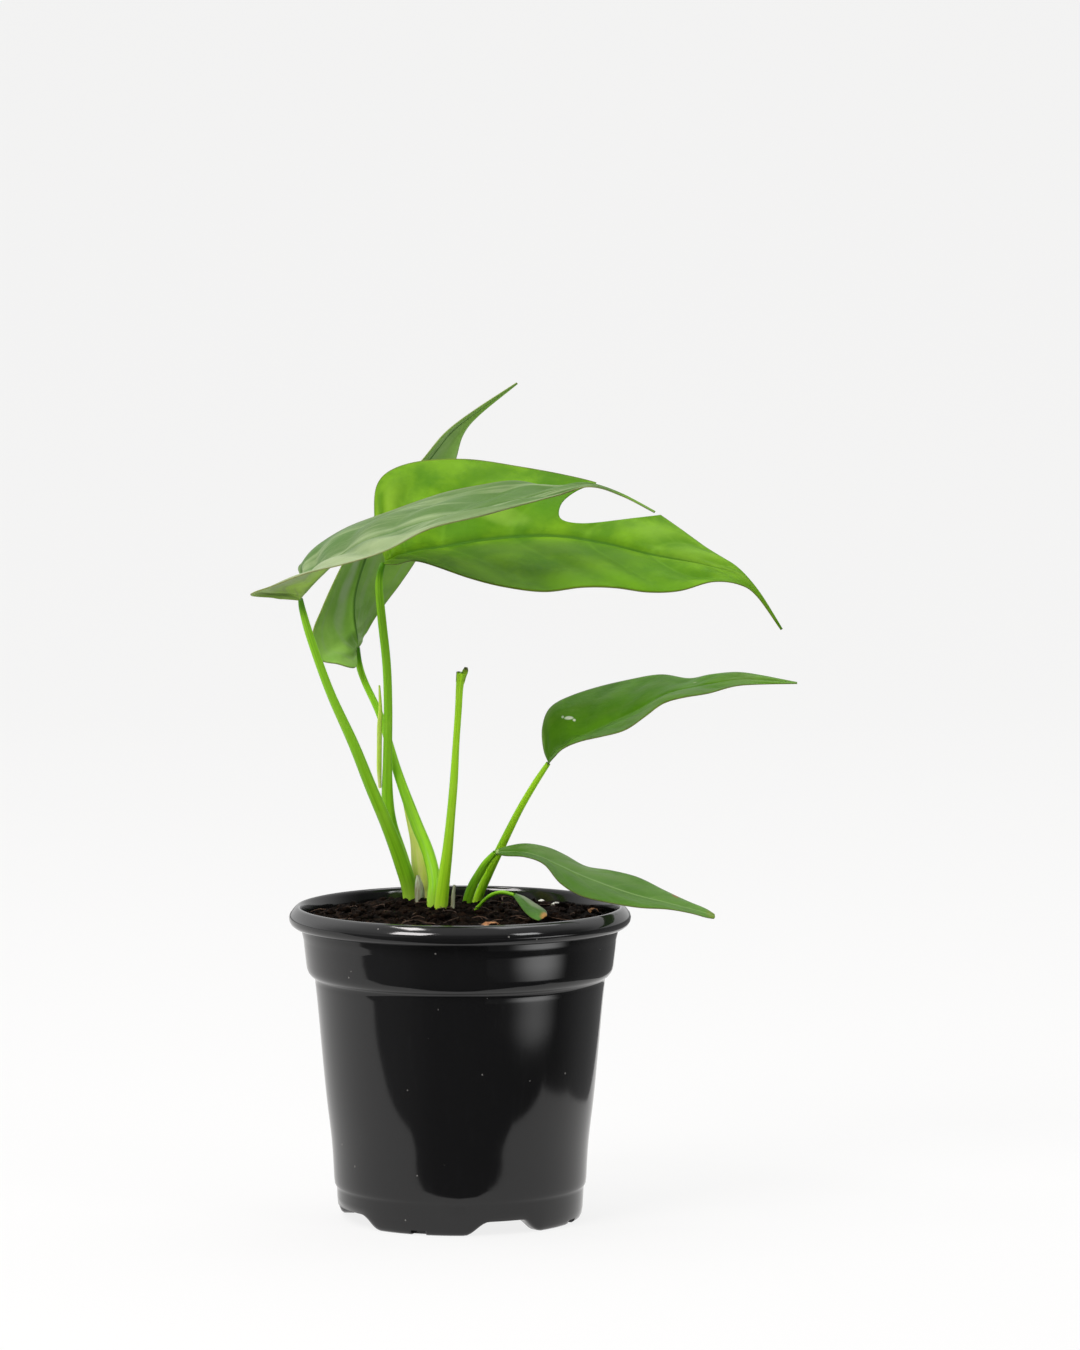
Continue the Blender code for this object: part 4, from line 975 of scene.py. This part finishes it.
def build_pot():
    profile = LIP + COLLAR + body_profile() + STEP + FOOT + FLOOR
    vertices, faces = turned(profile, POT_STEPS)
    low = vertices[:, 2] < FOOT_TOP
    rise = ARCH_RISE * arch_amount(vertices[:, 0], vertices[:, 1])
    vertices[low, 2] += (rise * (FOOT_TOP - vertices[:, 2]))[low]
    pot = new_piece("nursery_pot_fine", vertices, faces, [pot_material()], ["nursery_pot"])
    close_seams(pot.data)
    solidify = pot.modifiers.new("sheet", "SOLIDIFY")
    solidify.thickness = SHEET
    solidify.offset = 0.0
    solidify.use_even_offset = True
    for middle, _ in FEET:
        apply_boolean(pot, build_drain_cutter(math.radians(middle)))


def build_drain_cutter(angle):
    """A small box through the outer bottom edge of the foot at this angle."""
    shape = bmesh.new()
    bmesh.ops.create_cube(shape, size=1.0)
    bmesh.ops.scale(shape, vec=DRAIN_SIZE, verts=shape.verts)
    cutter = new_object("drain_cutter", mesh_of("drain_cutter", shape))
    cutter.location = AXIS + (DRAIN_RADIUS * math.sin(angle), -DRAIN_RADIUS * math.cos(angle), 0.0)
    cutter.rotation_euler.z = angle
    return cutter


def soil_height(x, y):
    """The peat's smooth surface: flat, with a mound at the stems, low waves and a drop at the edge."""
    radius = np.hypot(x, y) / SOIL_SIDE[-1][0]
    from_mound = np.hypot(x - MOUND_CENTRE[0], y - MOUND_CENTRE[1]) / MOUND_RADIUS
    mound = MOUND_HEIGHT * np.exp(-(from_mound**2))
    bumps = np.sin(290 * x + 1.0) * np.sin(260 * y) + 0.6 * np.sin(540 * x - 410 * y)
    return SOIL_LEVEL + mound + SOIL_BUMP * bumps - SOIL_EDGE_DROP * radius**6


def soil_material():
    """Moist dark peat: near black, with brown crumbs and a few pale flecks."""
    n = Nodes("peat")
    place = n.object_place()
    coarse = n.noise(place, 420.0, 5.0, 0.65)
    fine = n.noise(place, 1500.0, 3.0, 0.6)
    colour = n.mix(n.ramp(coarse, 0.40, 0.78), (0.0014, 0.0008, 0.0005), (0.018, 0.0090, 0.0048))
    colour = n.mix(n.ramp(fine, 0.64, 0.80, 0.0, 0.7), colour, (0.070, 0.040, 0.024))
    rough = n.ramp(coarse, 0.3, 0.7, 0.95, 0.7)
    n.bump(fine, 0.6, 0.0004)
    return n.finish(colour, rough, Specular_IOR_Level=0.04)


def ball_template(level):
    """The vertices and faces of a round ball, whose triangles are cut this many times."""
    shape = bmesh.new()
    bmesh.ops.create_icosphere(shape, subdivisions=level, radius=1.0)
    shape.verts.index_update()
    vertices = np.array([vertex.co for vertex in shape.verts])
    faces = [tuple(vertex.index for vertex in face.verts) for face in shape.faces]
    shape.free()
    return vertices, faces


def lumpy(vertices, stretch, seed, amount):
    """The ball's vertices pushed in and out by noise and stretched along the axes."""
    moved = [Vector(vertex) * 1.5 + Vector((seed, 0, 0)) for vertex in vertices]
    lumps = [1 + amount * noise.fractal(place, 0.7, 2.1, 3) for place in moved]
    return vertices * np.array(lumps)[:, None] * np.asarray(stretch)


def laid(points, turn, x, y, height):
    """The points turned about Z and moved to their place on the soil."""
    across = points[:, 0] * math.cos(turn) - points[:, 1] * math.sin(turn)
    along = points[:, 0] * math.sin(turn) + points[:, 1] * math.cos(turn)
    return np.stack([across + x, along + y, points[:, 2] + height], 1)


def random_soil_place(rng, reach):
    radius = reach * math.sqrt(rng.random())
    angle = rng.random() * 2 * math.pi
    return radius * math.cos(angle), radius * math.sin(angle)


def build_soil(material):
    """Peat: a closed body with a crumbly top."""
    rim_radius = SOIL_SIDE[-1][0]
    rings = [(rim_radius * (1 - index / SOIL_RINGS), 1.0) for index in range(1, SOIL_RINGS + 1)]
    profile = [(0.0, SOIL_SIDE[0][1])] + SOIL_SIDE + rings
    vertices, faces = turned(profile, SOIL_STEPS)
    top = vertices[:, 2] >= SOIL_SIDE[-1][1] - RIM_SLACK
    x, y = vertices[top, 0], vertices[top, 1]
    places = [Vector((a * SOIL_ROUGH_SCALE, b * SOIL_ROUGH_SCALE, 0.3)) for a, b in zip(x, y)]
    rough = [SOIL_ROUGH * noise.fractal(place, 0.6, 2.1, 5) for place in places]
    fade = np.clip((rim_radius - np.hypot(x, y)) / SOIL_FLAT_RIM, 0.1, 1)
    vertices[top, 2] = soil_height(x, y) + np.array(rough) * fade
    soil = new_piece("potting_soil_fine", vertices, faces, [material], ["potting_soil"])
    close_seams(soil.data)


def build_crumbs(material):
    """Many separate crumbs of peat lying on the soil, as one piece."""
    rng = random.Random(CRUMB_SEED)
    smallest, largest = CRUMB_SIZES
    templates = [ball_template(1), ball_template(2)]
    vertices = []
    faces = []
    for _ in range(CRUMBS):
        a, b = random_soil_place(rng, SOIL_SIDE[-1][0] - CRUMB_RIM_GAP)
        size = smallest + (largest - smallest) * rng.random() ** 3
        turn = rng.random() * ANY_TURN
        stretch = (1.0 + 0.7 * rng.random(), 1.0 - 0.35 * rng.random(), 0.75)
        ball, ball_faces = templates[size > COARSE_CRUMB]
        points = size * lumpy(ball, stretch, rng.random() * 90, CRUMB_LUMPS)
        height = float(soil_height(a, b)) + size * CRUMB_RAISED
        first = len(vertices)
        vertices += [tuple(point) for point in laid(points, turn, a, b, height)]
        faces += [tuple(first + index for index in face) for face in ball_faces]
    new_piece("peat_crumbs", vertices, faces, [material])


def fibre_material():
    n = Nodes("peat_fibre")
    tint = n.noise(n.object_place(), 300.0)
    return n.finish(n.mix(n.ramp(tint, 0.4, 0.7), (0.075, 0.038, 0.020), (0.022, 0.011, 0.006)), 0.8)


def build_fibres(material):
    """Short bent root hairs and straw bits lying on the peat, as one piece."""
    rng = random.Random(FIBRE_SEED)
    vertices = []
    faces = []
    for _ in range(FIBRES):
        a, b = random_soil_place(rng, SOIL_SIDE[-1][0] - FIBRE_RIM_GAP)
        turn = rng.random() * ANY_TURN
        length = 0.003 + 0.006 * rng.random()
        bend = rng.uniform(-FIBRE_BEND, FIBRE_BEND)
        radius = 0.00009 + 0.00010 * rng.random()
        first = len(vertices)
        for ring in range(FIBRE_RINGS):
            part = ring / (FIBRE_RINGS - 1)
            heading = turn + bend * part
            x = a + length * part * math.cos(heading)
            y = b + length * part * math.sin(heading)
            z = float(soil_height(x, y)) + FIBRE_HEIGHT + FIBRE_HUMP * math.sin(math.pi * part)
            for side in range(FIBRE_SIDES):
                angle = side * 2 * math.pi / FIBRE_SIDES
                across = radius * math.cos(angle)
                aside = (x - across * math.sin(heading), y + across * math.cos(heading))
                vertices.append((*aside, z + radius * math.sin(angle)))
        faces += tube_faces(FIBRE_RINGS, FIBRE_SIDES, first)
    new_piece("peat_fibres", vertices, faces, [material])


def bit_material(name, light, dark, scale):
    n = Nodes(name)
    tint = n.noise(n.object_place(), scale, 4.0, 0.6)
    n.bump(tint, 0.6, 0.0003)
    return n.finish(n.mix(n.ramp(tint, 0.35, 0.7), light, dark), 0.85)


def build_bit(name, place, half_sizes, turn, material):
    """A rough grain or chip, pressed part of its height into the soil."""
    ball, faces = ball_template(4)
    points = lumpy(ball * 1.15, half_sizes, len(name) + place[0] * 100, BIT_LUMPS)
    x, y = place
    height = float(soil_height(x, y)) + BIT_STANDS_PROUD * half_sizes[2]
    vertices = laid(points, turn, x, y, height)
    new_piece(name + "_fine", vertices, faces, [material], [name])


def build_camera():
    data = bpy.data.cameras.new("camera")
    data.lens = FOCAL_PIXELS / FRAME_HEIGHT_PIXELS * SENSOR_MM
    data.sensor_width = SENSOR_MM
    data.clip_end = 50.0
    camera = new_object("camera", data)
    camera.location = AXIS + CAMERA_PLACE
    camera.rotation_euler = (math.pi / 2 - CAMERA_PITCH, 0.0, 0.0)
    bpy.context.scene.camera = camera


def area_light(name, place, target, size, watts, colour):
    data = bpy.data.lights.new(name, "AREA")
    data.shape = "RECTANGLE"
    data.size, data.size_y = size
    data.energy = watts
    data.color = colour
    light = new_object(name, data)
    light.location = place
    aim = Vector(target) - Vector(place)
    light.rotation_euler = aim.to_track_quat("-Z", "Y").to_euler()


def shade_of(colour, amount):
    return tuple(amount * part for part in colour)


def lit_material(name, colour, glow, diffuse):
    """A pale surface that gives off a little light of its own, with slow faint variation."""
    n = Nodes(name)
    tint = n.noise(n.object_place(), 1.6, 2.0, 0.4)
    pale = shade_of(colour, diffuse)
    n.finish(n.mix(n.ramp(tint, 0.3, 0.7), pale, shade_of(pale, LIT_SHADE)), 0.9)
    n.put(colour, n.shader.inputs["Emission Color"])
    n.put(glow, n.shader.inputs["Emission Strength"])
    n.put(0.0, n.shader.inputs["Specular IOR Level"])
    return n.owner


def card_material():
    """Bright in the middle of the card, fading out to its edges."""
    n = Nodes("card")
    middle = n.patch(n.object_place(), CARD_MIDDLE, CARD_REACH, 0, 0.6)
    n.finish((0.1, 0.1, 0.1), 0.9)
    n.put((1.0, 1.0, 1.0), n.shader.inputs["Emission Color"])
    n.put(n.times(middle, CARD_GLOW), n.shader.inputs["Emission Strength"])
    return n.owner


def build_flat(name, corners, faces, material):
    """A stage surface, in places measured from the pot's axis."""
    mesh = bpy.data.meshes.new(name)
    mesh.from_pydata([tuple(corner) for corner in np.array(corners, float) + AXIS], [], faces)
    mesh.shade_smooth()
    mesh.materials.append(material)
    flat = new_object(name, mesh)
    return flat


def build_reflected(name, outline, material):
    """A flat shape on the floor that only reflections see."""
    flat = build_flat(name, [(x, y, 0.0) for x, y in outline], [range(len(outline))], material)
    flat.visible_camera = False
    flat.visible_diffuse = False
    flat.visible_transmission = False
    flat.visible_shadow = False


def build_floor():
    """A pale floor that sweeps up into a backdrop. Reflections see a table's top in its place."""
    path = [(FLOOR_FRONT, 0.0)]
    for part in np.linspace(0, 1, BEND_STEPS):
        angle = part * math.pi / 2
        path.append((BEND_START + BEND_RADIUS * math.sin(angle), BEND_RADIUS * (1 - math.cos(angle))))
    path.append((BEND_START + BEND_RADIUS, WALL_TOP))
    corners = [(x, y, z) for y, z in path for x in (-FLOOR_HALF_WIDTH, FLOOR_HALF_WIDTH)]
    faces = [(2 * i, 2 * i + 1, 2 * i + 3, 2 * i + 2) for i in range(len(path) - 1)]
    floor = build_flat("floor", corners, faces, lit_material("pale_floor", *FLOOR_LIGHT))
    floor.visible_glossy = False


def build_world():
    """Bright behind and above the plant, dim in front of it and dark under the horizon."""
    n = Nodes("studio", "worlds")
    bpy.context.scene.world = n.owner
    split = n.add("ShaderNodeSeparateXYZ")
    n.link(n.add("ShaderNodeTexCoord").outputs["Generated"], split.inputs[0])
    x, y, z = split.outputs
    total = n.math("ADD", n.ramp(y, *WORLD_BEHIND), n.ramp(z, *WORLD_ABOVE))
    total = n.math("ADD", total, n.ramp(x, *WORLD_LEFT))
    background = n.tree.nodes["Background"]
    n.put((1.0, 1.0, 1.0), background.inputs["Color"])
    n.put(n.times(total, n.ramp(z, *HORIZON)), background.inputs["Strength"])


def build_stage():
    build_floor()
    build_reflected("table_top", TABLE_OUTLINE, lit_material("table_white", *TABLE_LIGHT))
    build_reflected("floor_card", CARD_OUTLINE, card_material())
    build_world()
    for name, (place, target, size, watts, colour) in LIGHTS.items():
        area_light(name, place, target, size, watts, colour)
    bpy.context.scene.view_settings.view_transform = "Standard"


def build_leaves():
    for name, (rows, look, stations, columns, relief) in BLADES.items():
        blade = build_blade(name, rows, look, stations, columns, relief)
        if rows is LARGE_LEAF:
            apply_boolean(blade, build_notch_cutter())


def build_stalks():
    materials = {
        name: stalk_material(name, light, dark, base_tint, **more)
        for name, (light, dark, base_tint, more) in STALK_LOOKS.items()
    }
    for name, (route, look, slot, rings, sides) in STALKS.items():
        build_stalk(name, route, materials[look], rings, sides)


def build_bits():
    perlite = bit_material("perlite", (0.80, 0.78, 0.74), (0.55, 0.52, 0.48), 1200.0)
    bark = bit_material("bark", (0.42, 0.20, 0.08), (0.22, 0.09, 0.035), 700.0)
    for name, (place, half_sizes, turn) in SOIL_BITS.items():
        is_perlite = name.startswith("perlite")
        build_bit(name, place, half_sizes, turn, perlite if is_perlite else bark)


def main():
    build_camera()
    build_stage()
    build_pot()
    peat = soil_material()
    build_soil(peat)
    build_crumbs(peat)
    build_fibres(fibre_material())
    build_bits()
    build_leaves()
    build_stalks()


main()
bpy.context.view_layer.update()
